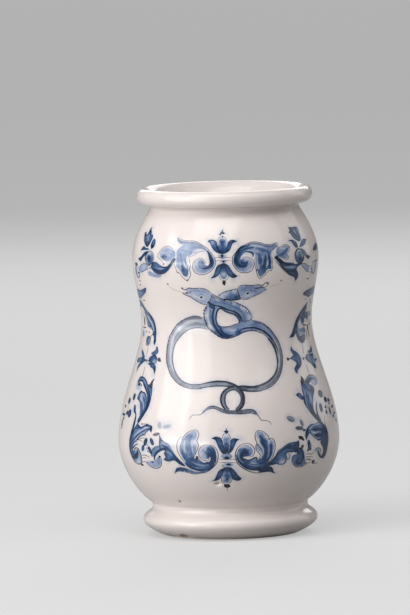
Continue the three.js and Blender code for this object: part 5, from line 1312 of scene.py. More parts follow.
pen("76.6,146 .6,5 1.4,5", 1.1, .85)
brush("74,131 -.6,3.6 .8,4", "1 1.7 .9", .8, INK, soft=.3)
brush("69.6,129 .2,3.4 .8,3", ".6 1 .6", .8, INK, soft=.3)
tell("long leaf on the right")

# %% [markdown]
# At the waist, between the hanging leaf and the climbing one, sits a small bow of pointed
# leaves with berries for a knot.

# %% The bows in the gaps at the sides
wash("-60.5,122.7 2.5,1.4 2,1.2 .2,1.9* 1.1,.2 .8,-1.5 1,-1.3* -.9,-1.4 -1.7,-.7 -2.5,-.4", "-57,123.4,.6 "
     "2.2,2,.65", rim=.1)
wash("-62,119 2,1.5 3,1.1 2.5,-.3 1.5,-1.4 .3,-1.9 -1.3,-1.3 -3,.1 -3,.5 -2.5,.5",
     "-57,119.4,.75 2.5,.3,.75 -1.5,-1.9,.3 -4,1,.75 6.7,-.6,.3", rim=.1)
brush("-62,119.8 2.5,1.2 2.5,.8 2,.1", ".4 .7 .8 .4", .92)
wash("-52.3,119.4 .7,1.2 1.4,0 1,-1 .7,-1.6* -1.5,-.1 -1.4,.3", "-50.6,119.3,.8", INK, soft=.2)
wash("-62,116 2,-.5 2,-1.3 2,-.6 1.5,-.8 1,-1.3 .8,-1.5* .3,1.5 0,1.5 -.7,1.8 -1.4,1.1 -2.5,.5 -3,.3",
     "-57,115,.6 4,-3.6,.85", rim=.1)
blob(-64.3, 117.8, .95, .9, .82)
blob(-67, 117.8, 1, 1, .82)
blob(-65.6, 117.9, .7, .9, .3)
wash("-68.8,120 -2.2,1.5 -2,1.4 -2.5,.7 -1.7,.9* 1.2,-2.1 2,-1.5 2,-1", "-73,121.8,.6 -3.4,2,.8", rim=.1)
wash("-68.4,118.8 -2.6,.8 -3,-.1 -3,-1 -3,-.1 -2.7,-1.6* 2.7,-1.3 3,.7 3,-.2 3,-.1 2.6,1.1", "-71.5,118,.8 "
     "-3,.3,.6 -5,-1.5,.7 2.5,.4,.4", rim=.1)
wash("-69.3,116 -1.7,-.6 -2,-1.2 -2,-1.8 -1.6,-1.6* -.5,2.2 1.6,2.1 2.5,1", "-73,115,.55 -3.2,-3,.7", rim=.1)
blob(-76, 110.4, .9, .6, .45, INK)
wash("48.5,126.2* 1,-2.2 2.5,-1.4 2,-1.5 1.3,-2.1 .4,-2 -.6,-2 -1.6,-1.9 -2.5,-1.4 -1.6,-1.3 -.9,-1.7* "
     "-1.2,1.3 -.1,1.8 1.2,1.3 1.5,1.2 .3,1.2 -1.2,1.3 -2,1.2 -1.1,.8 1.6,.8 1.6,1.4 -1.1,1.5 -.8,1.5",
     "48.3,125,.6 3.2,-7,.65 3,-1,.85 -2.5,4.6,.8 -.5,-8.8,.9 -3.2,-2.2,.7 -1.1,8.2,.5 2.4,3.8,.6", rim=.1)
blob(43.3, 118.5, 1.3, 1.1, .7, INK)
pen("44.4,118.6 1.6,.1", .6, .6)
blob(58.3, 117.6, .95, .9, .82)
blob(62.7, 117.3, 1.2, 1.3, .85)
blob(60.5, 117.5, 1.2, .6, .3)
wash("65.3,121.3 2.7,.6 2.5,.5 1.5,1.2 1.7,1.3* .2,-2.4 -.9,-1.6 -2,-.2 -3,-.1", "69.6,121.6,.6 3.6,1.6,.8",
     rim=.1)
wash("61.5,118.3 2,1.4 3.5,.3 3,-.3 3.7,.1* -.5,-1.5 -.6,-1.8 2.6,-1* -1.2,-1.3 -2.5,-.3 1.1,-1.4 -.7,-2.1* "
     "-1.9,-.2 -2,1.8 -2,1.8 -2,1.2 -2,1",
     "70,117.3,.6 -4,1.3,.75 4.5,.6,.8 -5,-4,.8 5,-3.8,.9 1.5,3.3,.35 -8.5,2.5,.5 4.5,-2.6,.7", rim=.1)
blob(76.2, 115.5, 1.7, .9, .76)
tell("bows in the gaps at the sides")

# %% [markdown]
# ## The glaze as a flat sheet
#
# Wrap paper round a jar, paint on it, and it unrolls flat. The sheet below is that paper. Its
# x runs round the jar, as millimetres on a circle of 60 mm radius, its y runs along the
# profile, and its z stands for height above or below the glaze's surface. Colour lies on the
# sheet's own points, so the points are dense where a brush stroke has its edge and sparse on
# the plain white back. That gives crisp edges without a picture file.

# %% Rows and columns
REFERENCE = 60.0            # mm, the circle on which x is measured
HALF_TURN = REFERENCE * math.pi
COLUMNS = 112
SAG = 0.03                  # mm that a flat facet may lie under the curve
CLOSEST = 0.5               # mm, rows are no closer than this
GLAZE_ROW, CLAY_ROW, BACK_ROW = 3.2, 3.6, 6.5   # mm, and no further apart


def up_to_along(up):
    """The place along the profile of a height on the outside."""
    return np.interp(up, profile[climbing, 1], along[climbing])


def rows(start, end, widest):
    """Places along the profile, closer together where it bends more."""
    step = np.gradient(profile, along, axis=0)
    turning = np.abs(np.gradient(np.unwrap(np.arctan2(step[:, 1], step[:, 0])), along))
    turning = np.convolve(turning, np.ones(5) / 5, mode="same")
    spacing = np.clip(np.sqrt(8 * SAG / np.maximum(turning, 1e-5)), CLOSEST, widest)
    within = (along >= start) & (along <= end)
    at = np.concatenate([[start], along[within], [end]])
    spacing = np.interp(at, along, spacing)
    count = np.concatenate([[0], np.cumsum(np.diff(at) * 2 / (spacing[1:] + spacing[:-1]))])
    return np.interp(np.linspace(0, count[-1], int(count[-1]) + 2), count, at)


columns = np.linspace(-HALF_TURN, HALF_TURN, COLUMNS + 1)
glaze_rows = rows(GLAZE_START, LENGTH, GLAZE_ROW)
print(len(glaze_rows), "rows of", COLUMNS, "columns")

# %% [markdown]
# A stroke's edge is kept sharp by two lines of points a tenth of a millimetre apart, one in
# the paint and one outside it. Where a stroke's edge lies under another one and nothing
# changes, the pair is dropped. A finer lattice fills the painted areas, so that the soft
# changes of tone inside a leaf have points to live on.

# %% Points along the edges of the strokes
EDGE_GAP = 0.05       # mm from a sharp edge to the points on each side of it
FAN = np.radians([-50, 0, 50])   # the directions of the points round a stroke's end
LEAST_CHANGE = 0.03   # in tone, across a pair that is worth its points


def beside(path, away, closed):
    """The two lines of points at the given distances to the right and left of a path."""
    step = np.roll(path, -1, axis=0) - np.roll(path, 1, axis=0) if closed else np.gradient(path, axis=0)
    step /= np.maximum(np.linalg.norm(step, axis=1), 1e-9)[:, None]
    side = np.column_stack([step[:, 1], -step[:, 0]])
    return path + side * np.reshape(away, (-1, 1))


def edge_pairs(stroke):
    """Pairs of points across a stroke's edge: near side, far side."""
    path = stroke["path"]
    gap = max(EDGE_GAP, stroke["soft"] / 2)
    if stroke["kind"] == "wash":
        return [(beside(path, -gap, True), beside(path, gap, True))]
    half = half_width(stroke, arc(path) / arc(path)[-1])
    pairs = [(beside(path, s * np.maximum(half - gap, 0), False), beside(path, s * (half + gap), False))
             for s in (-1, 1)]
    for end, before, reach in ((path[0], path[1], half[0]), (path[-1], path[-2], half[-1])):
        out = (end - before) / max(np.linalg.norm(end - before), 1e-9)
        fan = np.column_stack([out[0] * np.cos(FAN) - out[1] * np.sin(FAN),
                               out[0] * np.sin(FAN) + out[1] * np.cos(FAN)])
        pairs.append((end + fan * max(reach - gap, 0), end + fan * (reach + gap)))
    return pairs


def stroke_points():
    """Every pair across which the colour really changes."""
    near, far = (np.vstack(side) for side in zip(*(p for s in strokes for p in edge_pairs(s))))
    change = np.abs(paint(near) - paint(far)).max(axis=1)
    return np.vstack([near[change > LEAST_CHANGE], far[change > LEAST_CHANGE]])


edges = stroke_points()
print(len(edges), "points on the edges of", len(strokes), "strokes")


# %% The lattice inside the painting
LATTICE = 1.0        # mm between its points
LEAST_PAINT = 0.02   # the tone from which a place counts as painted
CLEAR_OF_EDGES, CLEAR_OF_PAINT = 0.35, 0.7   # mm that the lattice and the plain grid keep


def crowded(points, by, distance):
    """Which points have one of the others within about the given distance."""
    cells = {(i + a, j + b) for i, j in np.floor(by / distance).astype(int).tolist()
             for a in (-1, 0, 1) for b in (-1, 0, 1)}
    return np.array([tuple(c) in cells for c in np.floor(points / distance).astype(int).tolist()])


def painted_lattice():
    low, high = edges.min(axis=0) - LATTICE, edges.max(axis=0) + LATTICE
    across, up = (np.arange(a, b, LATTICE) for a, b in zip(low, high))
    grid = np.stack(np.meshgrid(across, up), axis=-1)
    grid[1::2, :, 0] += LATTICE / 2
    grid = grid.reshape(-1, 2)
    painted = paint(grid).max(axis=1) > LEAST_PAINT
    return grid[painted & ~crowded(grid, edges, CLEAR_OF_EDGES)]


lattice = painted_lattice()
print(len(lattice), "points between them")

# %% [markdown]
# ## Small faults of the firing
#
# A bubble that burst in the kiln leaves a pit with a brown heart, where the clay shows
# through. The hearts of the two larger ones are darker than the bare clay: painted shade in
# the hollow. One sits low on the front and one under the lip inside. They are dents in the
# sheet, with a few rings of points of their own, so that the shine breaks in them.

# %% Pits in the glaze
INSIDE_LIP = float(along[top_of_lip]) + 7.5   # mm over the lip and down the inside
PITS = [  # across, along, radius, depth, brown and painted shade
    (-37.1, float(up_to_along(26.0)), 2.1, 0.6, 1.3),
    (math.radians(21.9) * REFERENCE, INSIDE_LIP, 1.9, 0.5, 0.9),
    (26.0, float(up_to_along(30.5)), 0.35, 0.15, 0.6),
    (-16.5, float(up_to_along(207.0)), 0.3, 0.12, 0.5),
    (46.0, float(up_to_along(34.0)), 0.3, 0.12, 0.6),
]
PIT_RINGS = ((0.3, 6), (0.6, 10), (0.9, 14), (1.25, 16))   # share of the radius, points
STEEP = 1.6                                # how fast a pit's side rises
HEART_FULL, HEART_FADE = 1.2, 1.5          # the brown and painted shade in its heart, and how fast it fades
EARTH_AND_SHADE_PASS = np.array([0.36, 0.20, 0.10])  # the share of the glaze's colour that the brown and painted shade keep


def pit_points():
    made = []
    for across, place, radius, _, _ in PITS:
        made.append((across, place))
        for share, count in PIT_RINGS:
            turn = np.arange(count) * 2 * math.pi / count + share
            made += list(zip(across + radius * share * np.cos(turn), place + radius * share * np.sin(turn)))
    return np.array(made)


def pitted(points):
    """Depth of the pits at each point of the sheet, and the brown and painted shade of their hearts."""
    depth, brown_and_shade = np.zeros(len(points)), np.zeros(len(points))
    for across, place, radius, deep, heart in PITS:
        share = np.hypot(points[:, 0] - across, points[:, 1] - place) / radius
        depth += deep * np.exp(-(share * STEEP) ** 2)
        brown_and_shade = np.maximum(brown_and_shade, heart * np.clip(HEART_FULL - share * HEART_FADE, 0, 1))
    return depth, brown_and_shade


print(len(PITS), "pits,", len(pit_points()), "points in them")

# %% [markdown]
# The sheet is closed into a thin skin. A front sheet carries the painting, and a plain back
# sheet lies one glaze's thickness under it. They meet along the lower edge, which is thin and
# wavy, as the sponge left it. Solidify could make the back, but with as many points as the
# front, and nobody sees them.

# %% Tools for the skin
WAVES = ((0.06, 3, 0.7), (0.05, 7, 2), (0.04, 17, 4))   # mm, waves round the jar, start
WAVE_REST, WAVE_FADE = 0.12, 6   # mm that the edge keeps clear, and over which the waves die out


def wavy_edge(points):
    """Lets the lower edge of the glaze wander, and fades that out further up."""
    across, place = points[:, 0], points[:, 1]
    turn = across / REFERENCE
    wave = sum(size * np.sin(count * turn + start) for size, count, start in WAVES) + WAVE_REST
    return place + wave * np.clip(1 - (place - GLAZE_START) / WAVE_FADE, 0, 1) ** 2


def triangles_of(points):
    """A Delaunay triangulation, facing up."""
    found = delaunay_2d_cdt([Vector(p) for p in points.tolist()], [], [], 0, 1e-4, False)
    placed = np.array([tuple(v) for v in found[0]])
    faces = np.array(found[2])
    a, b, c = (placed[faces[:, k]] for k in range(3))
    to_b, to_c = b - a, c - a
    size = to_b[:, 0] * to_c[:, 1] - to_b[:, 1] * to_c[:, 0]
    faces[size < 0] = faces[size < 0][:, ::-1]
    return placed, faces[np.abs(size) > 1e-9]


def grid_faces(row_count, column_count, first=0):
    """Two triangles for each cell of a lattice of points, facing up."""
    firsts = np.arange(row_count - 1)[:, None] * column_count
    corner = first + (firsts + np.arange(column_count - 1)).ravel()
    right, above = corner + 1, corner + column_count
    return np.vstack([np.column_stack([corner, right, above + 1]),
                      np.column_stack([corner, above + 1, above])])


def make_sheet(name, points, faces, passes):
    """A flat mesh in metres with the painting in a colour attribute called paint."""
    mesh = bpy.data.meshes.new(name)
    mesh.from_pydata((points * MM).tolist(), [], faces.tolist())
    layer = mesh.color_attributes.new("paint", "FLOAT_COLOR", "POINT")
    colours = np.column_stack([passes, np.ones(len(passes))])
    layer.data.foreach_set("color", colours.astype(np.float32).ravel())
    sheet = bpy.data.objects.new(name, mesh)
    bpy.context.scene.collection.objects.link(sheet)
    print(name, len(points), "points", len(faces), "triangles")
    return sheet


# %% The front and the back of the skin
LIP_RUN, LIP_THICK = 0.9, 0.25   # mm over which the glaze thins to its lower edge, and how thin it gets


def front_points():
    """The plain grid, with the points of the painting and the pits in its place where they are."""
    drawn_points = np.vstack([edges, lattice])
    drawn_points[:, 1] = up_to_along(drawn_points[:, 1])
    special = np.vstack([drawn_points, pit_points()])
    grid = np.stack(np.meshgrid(columns, glaze_rows), axis=-1).reshape(-1, 2)
    inner = (np.abs(grid[:, 0]) < HALF_TURN - 1) & (grid[:, 1] > GLAZE_START + 0.1)
    grid = grid[~(inner & crowded(grid, special, CLEAR_OF_PAINT))]
    return np.vstack([grid, special])


def painted_sheet():
    front, faces = triangles_of(front_points())
    heights = np.interp(front[:, 1], along[climbing], profile[climbing, 1])
    on_outside = front[:, 1] < along[top_of_lip]
    passes = np.ones((len(front), 3))
    passes[on_outside] = colour(paint(np.column_stack([front[:, 0], heights])[on_outside]))
    depth, brown_and_shade = pitted(front)
    # the pits' hearts: the brown of the clay, darkened further as painted shade
    passes *= 1 + (EARTH_AND_SHADE_PASS - 1) * brown_and_shade[:, None]
    lip = np.clip((front[:, 1] - GLAZE_START) / LIP_RUN, 0, 1)
    depth += (GLAZE - LIP_THICK) * (1 - np.sqrt(1 - (1 - lip) ** 2))
    back_rows = rows(GLAZE_START, LENGTH, BACK_ROW)
    back = np.stack(np.meshgrid(columns, back_rows), axis=-1).reshape(-1, 2)
    back_faces = grid_faces(len(back_rows), COLUMNS + 1, len(front))[:, ::-1]
    seam = np.flatnonzero(np.abs(front[:, 1] - GLAZE_START) < 1e-3)
    seam = seam[front[seam, 0].argsort()]
    under = len(front) + np.arange(COLUMNS + 1)
    strip = np.vstack([np.column_stack([under[:-1], under[1:], seam[1:]]),
                       np.column_stack([under[:-1], seam[1:], seam[:-1]])])
    flat = np.vstack([front, back])
    flat[:, 1] = wavy_edge(flat)
    z = np.concatenate([-depth, np.full(len(back), -GLAZE)])
    passes = np.vstack([passes, np.ones((len(back), 3))])
    return make_sheet("painted_glaze", np.column_stack([flat, z]),
                      np.vstack([faces, back_faces, strip]), passes)


glaze = painted_sheet()

# %% [markdown]
# Under the skin is the thrown body. It follows the same profile just beneath the glaze and
# comes up to the surface where the foot was wiped bare, so that chips and the foot ring show
# real clay.

# %% The clay under it
CLAY_UNDER = 0.82   # mm below the glaze's surface, just clear of the skin
CLAY_RISE = 1.2     # mm over which it comes up to the surface at the foot
CLAY_LOW = 0.02     # mm that the bare clay lies under the CAD part's surface


def clay_sheet():
    clay_rows = rows(0, LENGTH, CLAY_ROW)
    grid = np.stack(np.meshgrid(columns, clay_rows), axis=-1).reshape(-1, 2)
    covered = np.clip((grid[:, 1] - GLAZE_START + CLAY_RISE) / CLAY_RISE, 0, 1)
    z = -CLAY_UNDER * covered * covered * (3 - 2 * covered) - CLAY_LOW
    return make_sheet("thrown_body", np.column_stack([grid, z]),
                      grid_faces(len(clay_rows), COLUMNS + 1), np.ones((len(grid), 3)))


clay = clay_sheet()

# %% [markdown]
# ## Throwing on the wheel
#
# The Screw modifier turns a line into a pot, but it makes its own points, and the painting is
# on these. So the wheel is a Geometry Nodes tree. It reads each point of a sheet, finds its
# place along the profile curve, lifts it by its z along the profile's own outward direction,
# and swings it round the axis. A slow noise then pulls the surface in by a few tenths of a
# millimetre, as no hand-thrown jar is quite round. Both pieces go through the same tree with
# the same seed, so glaze and clay stay together. Last, points that met at the seam and on the
# axis are welded.

# %% Helpers for node trees
def add(tree, kind, *sources, **settings):
    """A node with these settings, its first inputs fed by sockets or set to values."""
    node = tree.nodes.new(kind)
    for name, value in settings.items():
        setattr(node, name, value)
    for socket, source in zip(node.inputs, sources):
        feed(tree, socket, source)
    return node


def feed(tree, socket, source):
    if isinstance(source, bpy.types.NodeSocket):
        tree.links.new(source, socket)
    elif source is not None:
        socket.default_value = source


def maths(tree, operation, *values):
    return add(tree, "ShaderNodeMath", *values, operation=operation).outputs[0]


def sockets(tree, inputs, outputs):
    """Names the tree's inputs and outputs, as (name, kind, value) and (name, kind)."""
    for name, kind, *value in inputs:
        socket = tree.interface.new_socket(name, in_out="INPUT", socket_type="NodeSocket" + kind)
        if value:
            socket.default_value = value[0]
    for name, kind in outputs:
        tree.interface.new_socket(name, in_out="OUTPUT", socket_type="NodeSocket" + kind)
    return add(tree, "NodeGroupInput").outputs, add(tree, "NodeGroupOutput").inputs


print("node helpers:", add.__name__, feed.__name__, maths.__name__, sockets.__name__)

# %% Build the wheel
def build_wheel():
    tree = bpy.data.node_groups.new("throw_on_the_wheel", "GeometryNodeTree")
    given, made = sockets(
        tree,
        [("Sheet", "Geometry"), ("Profile", "Object"), ("Reference Radius", "Float", REFERENCE * MM),
         ("Unevenness", "Float", 0.0003), ("Lump Size", "Float", 0.045), ("Seed", "Float", 3.0),
         ("Rim Dip", "Float", 0.0003), ("Height", "Float", HEIGHT * MM), ("Weld", "Float", 0.00001),
         ("Finish", "Material")],
        [("Jar", "Geometry")])
    flat = add(tree, "ShaderNodeSeparateXYZ", add(tree, "GeometryNodeInputPosition").outputs[0]).outputs
    line = add(tree, "GeometryNodeObjectInfo", given["Profile"])
    sample = add(tree, "GeometryNodeSampleCurve", mode="LENGTH")
    feed(tree, sample.inputs["Curves"], line.outputs["Geometry"])
    feed(tree, sample.inputs["Length"], flat["Y"])
    place = add(tree, "ShaderNodeSeparateXYZ", sample.outputs["Position"]).outputs
    ahead = add(tree, "ShaderNodeSeparateXYZ", sample.outputs["Tangent"]).outputs
    radius = maths(tree, "ADD", place["X"], maths(tree, "MULTIPLY", ahead["Z"], flat["Z"]))
    height = maths(tree, "SUBTRACT", place["Z"], maths(tree, "MULTIPLY", ahead["X"], flat["Z"]))
    turn = maths(tree, "DIVIDE", flat["X"], given["Reference Radius"])
    side, front = maths(tree, "SINE", turn), maths(tree, "MULTIPLY", maths(tree, "COSINE", turn), -1.0)

    def swung(far, tall):
        return add(tree, "ShaderNodeCombineXYZ", maths(tree, "MULTIPLY", side, far),
                   maths(tree, "MULTIPLY", front, far), tall).outputs[0]

    lumps = add(tree, "ShaderNodeTexNoise", noise_dimensions="4D")
    feed(tree, lumps.inputs["Vector"], swung(radius, height))
    feed(tree, lumps.inputs["W"], given["Seed"])
    feed(tree, lumps.inputs["Scale"], maths(tree, "DIVIDE", 1.0, given["Lump Size"]))
    lumps.inputs["Detail"].default_value = 1.0
    from_axis = maths(tree, "DIVIDE", radius, given["Lump Size"])
    near_axis = add(tree, "ShaderNodeClamp", from_axis).outputs[0]
    uneven = maths(tree, "MULTIPLY", lumps.outputs[0], given["Unevenness"])
    pull = maths(tree, "MULTIPLY", uneven, near_axis)
    share = maths(tree, "POWER", maths(tree, "DIVIDE", height, given["Height"]), 6.0)
    swing = maths(tree, "SINE", maths(tree, "ADD", turn, given["Seed"]))
    tilt = maths(tree, "MULTIPLY_ADD", swing, 0.5, 0.5)
    dip = maths(tree, "MULTIPLY", maths(tree, "MULTIPLY", tilt, given["Rim Dip"]), share)
    moved = add(tree, "GeometryNodeSetPosition", given["Sheet"], None,
                swung(maths(tree, "SUBTRACT", radius, pull), maths(tree, "SUBTRACT", height, dip)))
    welded = add(tree, "GeometryNodeMergeByDistance", moved.outputs[0])
    feed(tree, welded.inputs["Distance"], given["Weld"])
    smooth = add(tree, "GeometryNodeSetShadeSmooth", welded.outputs[0])
    real = add(tree, "GeometryNodeRealizeInstances", smooth.outputs[0])
    finished = add(tree, "GeometryNodeSetMaterial", real.outputs[0])
    feed(tree, finished.inputs["Material"], given["Finish"])
    feed(tree, made["Jar"], finished.outputs[0])
    return tree


wheel = build_wheel()
print("wheel:", len(wheel.nodes), "nodes")


# %% The profile as a curve for the wheel
def profile_curve():
    data = bpy.data.curves.new("profile_line", "CURVE")
    data.dimensions = "3D"
    spline_data = data.splines.new("POLY")
    spline_data.points.add(len(profile) - 1)
    spline_data.points.foreach_set("co", np.column_stack([
        profile[:, 0] * MM, np.zeros(len(profile)), profile[:, 1] * MM, np.ones(len(profile))]).ravel())
    line = bpy.data.objects.new("profile_line", data)
    bpy.context.scene.collection.objects.link(line)
    return line


profile_line = profile_curve()

# %% [markdown]
# ## Finishes
#
# Two effects of the kiln are shared by glaze and clay: a slow mottle, because the fire and
# the clay are never even, and fine dark specks of iron. Each is a node group with named
# inputs, used in both materials with different values.

# %% Shared effects of the kiln
def new_group(name, inputs, outputs):
    tree = bpy.data.node_groups.new(name, "ShaderNodeTree")
    given, made = sockets(tree, inputs, outputs)
    place = add(tree, "ShaderNodeTexCoord").outputs["Object"]
    return tree, given, made, place


def noise(tree, place, scale, detail=2.0, roughness=0.5):
    node = add(tree, "ShaderNodeTexNoise")
    feed(tree, node.inputs["Vector"], place)
    for name, value in (("Scale", scale), ("Detail", detail), ("Roughness", roughness)):
        feed(tree, node.inputs[name], value)
    return node.outputs[0]


def blend(tree, share, a, b, mode="MIX"):
    node = add(tree, "ShaderNodeMix", data_type="RGBA", blend_type=mode)
    for name, value in (("Factor_Float", share), ("A_Color", a), ("B_Color", b)):
        feed(tree, next(s for s in node.inputs if s.identifier == name), value)
    return next(s for s in node.outputs if s.identifier == "Result_Color")


def ramp(tree, value, low, high, to_low=0.0, to_high=1.0):
    return add(tree, "ShaderNodeMapRange", value, low, high, to_low, to_high,
               interpolation_type="SMOOTHSTEP").outputs[0]


def kiln_mottle():
    tree, given, made, place = new_group(
        "kiln_mottle", [("Size", "Float", 0.02), ("Detail", "Float", 3.0), ("Contrast", "Float", 1.0)],
        [("Mottle", "Float")])
    cloud = noise(tree, place, maths(tree, "DIVIDE", 1.0, given["Size"]), given["Detail"], 0.55)
    spread = maths(tree, "MULTIPLY", maths(tree, "SUBTRACT", cloud, 0.5), given["Contrast"])
    feed(tree, made["Mottle"], add(tree, "ShaderNodeClamp", maths(tree, "ADD", spread, 0.5)).outputs[0])
    return tree


def kiln_specks():
    tree, given, made, place = new_group(
        "kiln_specks", [("Spacing", "Float", 0.01), ("Size", "Float", 0.0003), ("Share", "Float", 0.3)],
        [("Specks", "Float")])
    cells = add(tree, "ShaderNodeTexVoronoi")
    feed(tree, cells.inputs["Vector"], place)
    feed(tree, cells.inputs["Scale"], maths(tree, "DIVIDE", 1.0, given["Spacing"]))
    away = maths(tree, "MULTIPLY", cells.outputs["Distance"], given["Spacing"])
    lot = add(tree, "ShaderNodeSeparateColor", cells.outputs["Color"]).outputs
    size = maths(tree, "MULTIPLY", given["Size"], maths(tree, "ADD", lot[1], 0.4))
    dot = maths(tree, "SUBTRACT", 1.0, ramp(tree, maths(tree, "DIVIDE", away, size), 0.6, 1.2))
    chosen = maths(tree, "LESS_THAN", lot[0], given["Share"])
    feed(tree, made["Specks"], maths(tree, "MULTIPLY", dot, chosen))
    return tree


def wheel_rings():
    tree, given, made, place = new_group(
        "wheel_rings", [("Pitch", "Float", 0.006), ("Waver", "Float", 0.002)], [("Height", "Float")])
    rise = add(tree, "ShaderNodeSeparateXYZ", place).outputs[2]
    drift = maths(tree, "MULTIPLY", noise(tree, place, 14.0, 1.0), given["Waver"])
    level = maths(tree, "DIVIDE", maths(tree, "ADD", rise, drift), given["Pitch"])
    rings = add(tree, "ShaderNodeTexNoise", noise_dimensions="1D")
    feed(tree, rings.inputs["W"], level)
    rings.inputs["Scale"].default_value = 1.0
    feed(tree, made["Height"], rings.outputs[0])
    return tree


mottle_group, speck_group, ring_group = kiln_mottle(), kiln_specks(), wheel_rings()
print("shared effects:", [g.name for g in (mottle_group, speck_group, ring_group)])


def effect(tree, group, **values):
    """Places a shared effect with its own values and gives its one output."""
    node = add(tree, "ShaderNodeGroup", node_tree=group)
    for name, value in values.items():
        feed(tree, node.inputs[name], value)
    return node.outputs[0]


# %% [markdown]
# Tin glaze is an opaque white glass. Its white is not paper white: it leans to pink where the
# clay warms it and to grey where it lies thick. The painting was done on the raw glaze and
# sank in, so it lies under the shine, and its strength clouds from thin to thick as the brush
# emptied. So the colours of the pigments multiply the white, and one gloss lies over all. The
# surface has a faint ripple, like the skin of an orange.

# %% The painted glaze
WHITE = (0.80, 0.72, 0.69, 1)
COOL_WHITE = (0.75, 0.69, 0.67, 1)
WARM_WHITE = (0.80, 0.70, 0.65, 1)
SPECK_BROWN = (0.13, 0.075, 0.05, 1)


def new_material(name):
    finish = bpy.data.materials.new(name)
    finish.use_nodes = True
    tree = finish.node_tree
    shader = tree.nodes["Principled BSDF"]
    return finish, tree, shader


def bumps(tree, shader, *layers):
    """Chains bumps, each a height, how deep in metres, and how strong."""
    normal = None
    for height, distance, strength in layers:
        node = add(tree, "ShaderNodeBump")
        node.inputs["Strength"].default_value = strength
        node.inputs["Distance"].default_value = distance
        feed(tree, node.inputs["Height"], height)
        if normal:
            feed(tree, node.inputs["Normal"], normal)
        normal = node.outputs[0]
    feed(tree, shader.inputs["Normal"], normal)


def glaze_finish():
    finish, tree, shader = new_material("tin_glaze_painted")
    place = add(tree, "ShaderNodeTexCoord").outputs["Object"]
    clouds = effect(tree, mottle_group, Size=0.05, Detail=3.0, Contrast=1.6)
    patches = effect(tree, mottle_group, Size=0.012, Detail=4.0, Contrast=1.5)
    white = blend(tree, clouds, COOL_WHITE, WHITE)
    white = blend(tree, maths(tree, "MULTIPLY", patches, 0.35), white, WARM_WHITE)
    specks = effect(tree, speck_group, Spacing=0.013, Size=0.00028, Share=0.35)
    white = blend(tree, maths(tree, "MULTIPLY", specks, 0.8), white, SPECK_BROWN)
    paint_layer = add(tree, "ShaderNodeAttribute", attribute_name="paint").outputs["Color"]
    load = effect(tree, mottle_group, Size=0.0025, Detail=3.0, Contrast=1.4)
    strength = ramp(tree, load, 0.0, 1.0, 0.8, 1.2)
    pigment = add(tree, "ShaderNodeGamma", paint_layer, strength).outputs[0]
    feed(tree, shader.inputs["Base Color"], blend(tree, 1.0, white, pigment, "MULTIPLY"))
    feed(tree, shader.inputs["Roughness"], ramp(tree, patches, 0.0, 1.0, 0.10, 0.17))
    shader.inputs["IOR"].default_value = 1.5
    peel = noise(tree, place, 380.0, 1.0)
    ripple = noise(tree, place, 55.0, 2.0)
    rings = effect(tree, ring_group, Pitch=0.009, Waver=0.004)
    pins = effect(tree, speck_group, Spacing=0.008, Size=0.00022, Share=0.3)
    bumps(tree, shader, (ripple, 0.0004, 0.35), (rings, 0.0004, 0.25), (peel, 0.00004, 0.4),
          (maths(tree, "SUBTRACT", 1.0, pins), 0.0001, 0.5))
    return finish


# %% [markdown]
# The bare clay of the foot and of the chips is dry and rough, buff with darker grains, and
# keeps fine rings from the turning tool. They are bumps: nothing so fine shows in an outline,
# and as real grooves they would cost more faces than the jar.

# %% The bare clay
BUFF = (0.50, 0.41, 0.33, 1)
PALE_BUFF = (0.68, 0.60, 0.52, 1)
GRAIN = (0.16, 0.09, 0.05, 1)


def clay_finish():
    finish, tree, shader = new_material("bare_earthenware")
    place = add(tree, "ShaderNodeTexCoord").outputs["Object"]
    clouds = effect(tree, mottle_group, Size=0.015, Detail=5.0, Contrast=1.8)
    body = blend(tree, clouds, BUFF, PALE_BUFF)
    grains = effect(tree, speck_group, Spacing=0.0022, Size=0.0003, Share=0.4)
    body = blend(tree, maths(tree, "MULTIPLY", grains, 0.7), body, GRAIN)
    feed(tree, shader.inputs["Base Color"], body)
    feed(tree, shader.inputs["Roughness"], ramp(tree, clouds, 0.0, 1.0, 0.8, 0.95))
    grit = noise(tree, place, 900.0, 4.0, 0.7)
    rings = effect(tree, ring_group, Pitch=0.0012, Waver=0.0003)
    bumps(tree, shader, (rings, 0.0003, 0.5), (grit, 0.00015, 0.6))
    return finish


tin_glaze, bare_clay = glaze_finish(), clay_finish()
print("finishes:", tin_glaze.name, bare_clay.name)

# %% [markdown]
# ## Two pieces from the wheel
#
# Each sheet gets the wheel as a modifier, with its inputs set by their identifiers. The
# evaluated result becomes a plain mesh, so that nothing procedural is left on the piece.

# %% Throw the clay and the glaze
def set_inputs(modifier, **values):
    names = {item.name.replace(" ", "_"): item.identifier
             for item in modifier.node_group.interface.items_tree if item.in_out == "INPUT"}
    for name, value in values.items():
        modifier[names[name]] = value


def settle(piece):
    """Swaps the piece's mesh for what its modifiers make of it, and drops them."""
    graph = bpy.context.evaluated_depsgraph_get()
    mesh = bpy.data.meshes.new_from_object(
        piece.evaluated_get(graph), preserve_all_data_layers=True, depsgraph=graph)
    old, piece.data = piece.data, mesh
    piece.modifiers.clear()
    mesh.name = piece.name
    bpy.data.meshes.remove(old)


def throw(sheet, finish):
    turned = sheet.modifiers.new("wheel", "NODES")
    turned.node_group = wheel
    set_inputs(turned, Profile=profile_line, Finish=finish)
    settle(sheet)
    print(sheet.name, len(sheet.data.vertices), "points", len(sheet.data.polygons), "faces")


throw(glaze, tin_glaze)
throw(clay, bare_clay)
bpy.data.objects.remove(profile_line)

# %% [markdown]
# ## Knocks of three centuries
#
# A bite is missing from the foot ring, through glaze and clay, and a flake of glaze has come
# off the heel, so that the clay shows. A dark patch would look flat there, so both are cut
# with a Boolean and small rough lumps, where the CAD part has them.

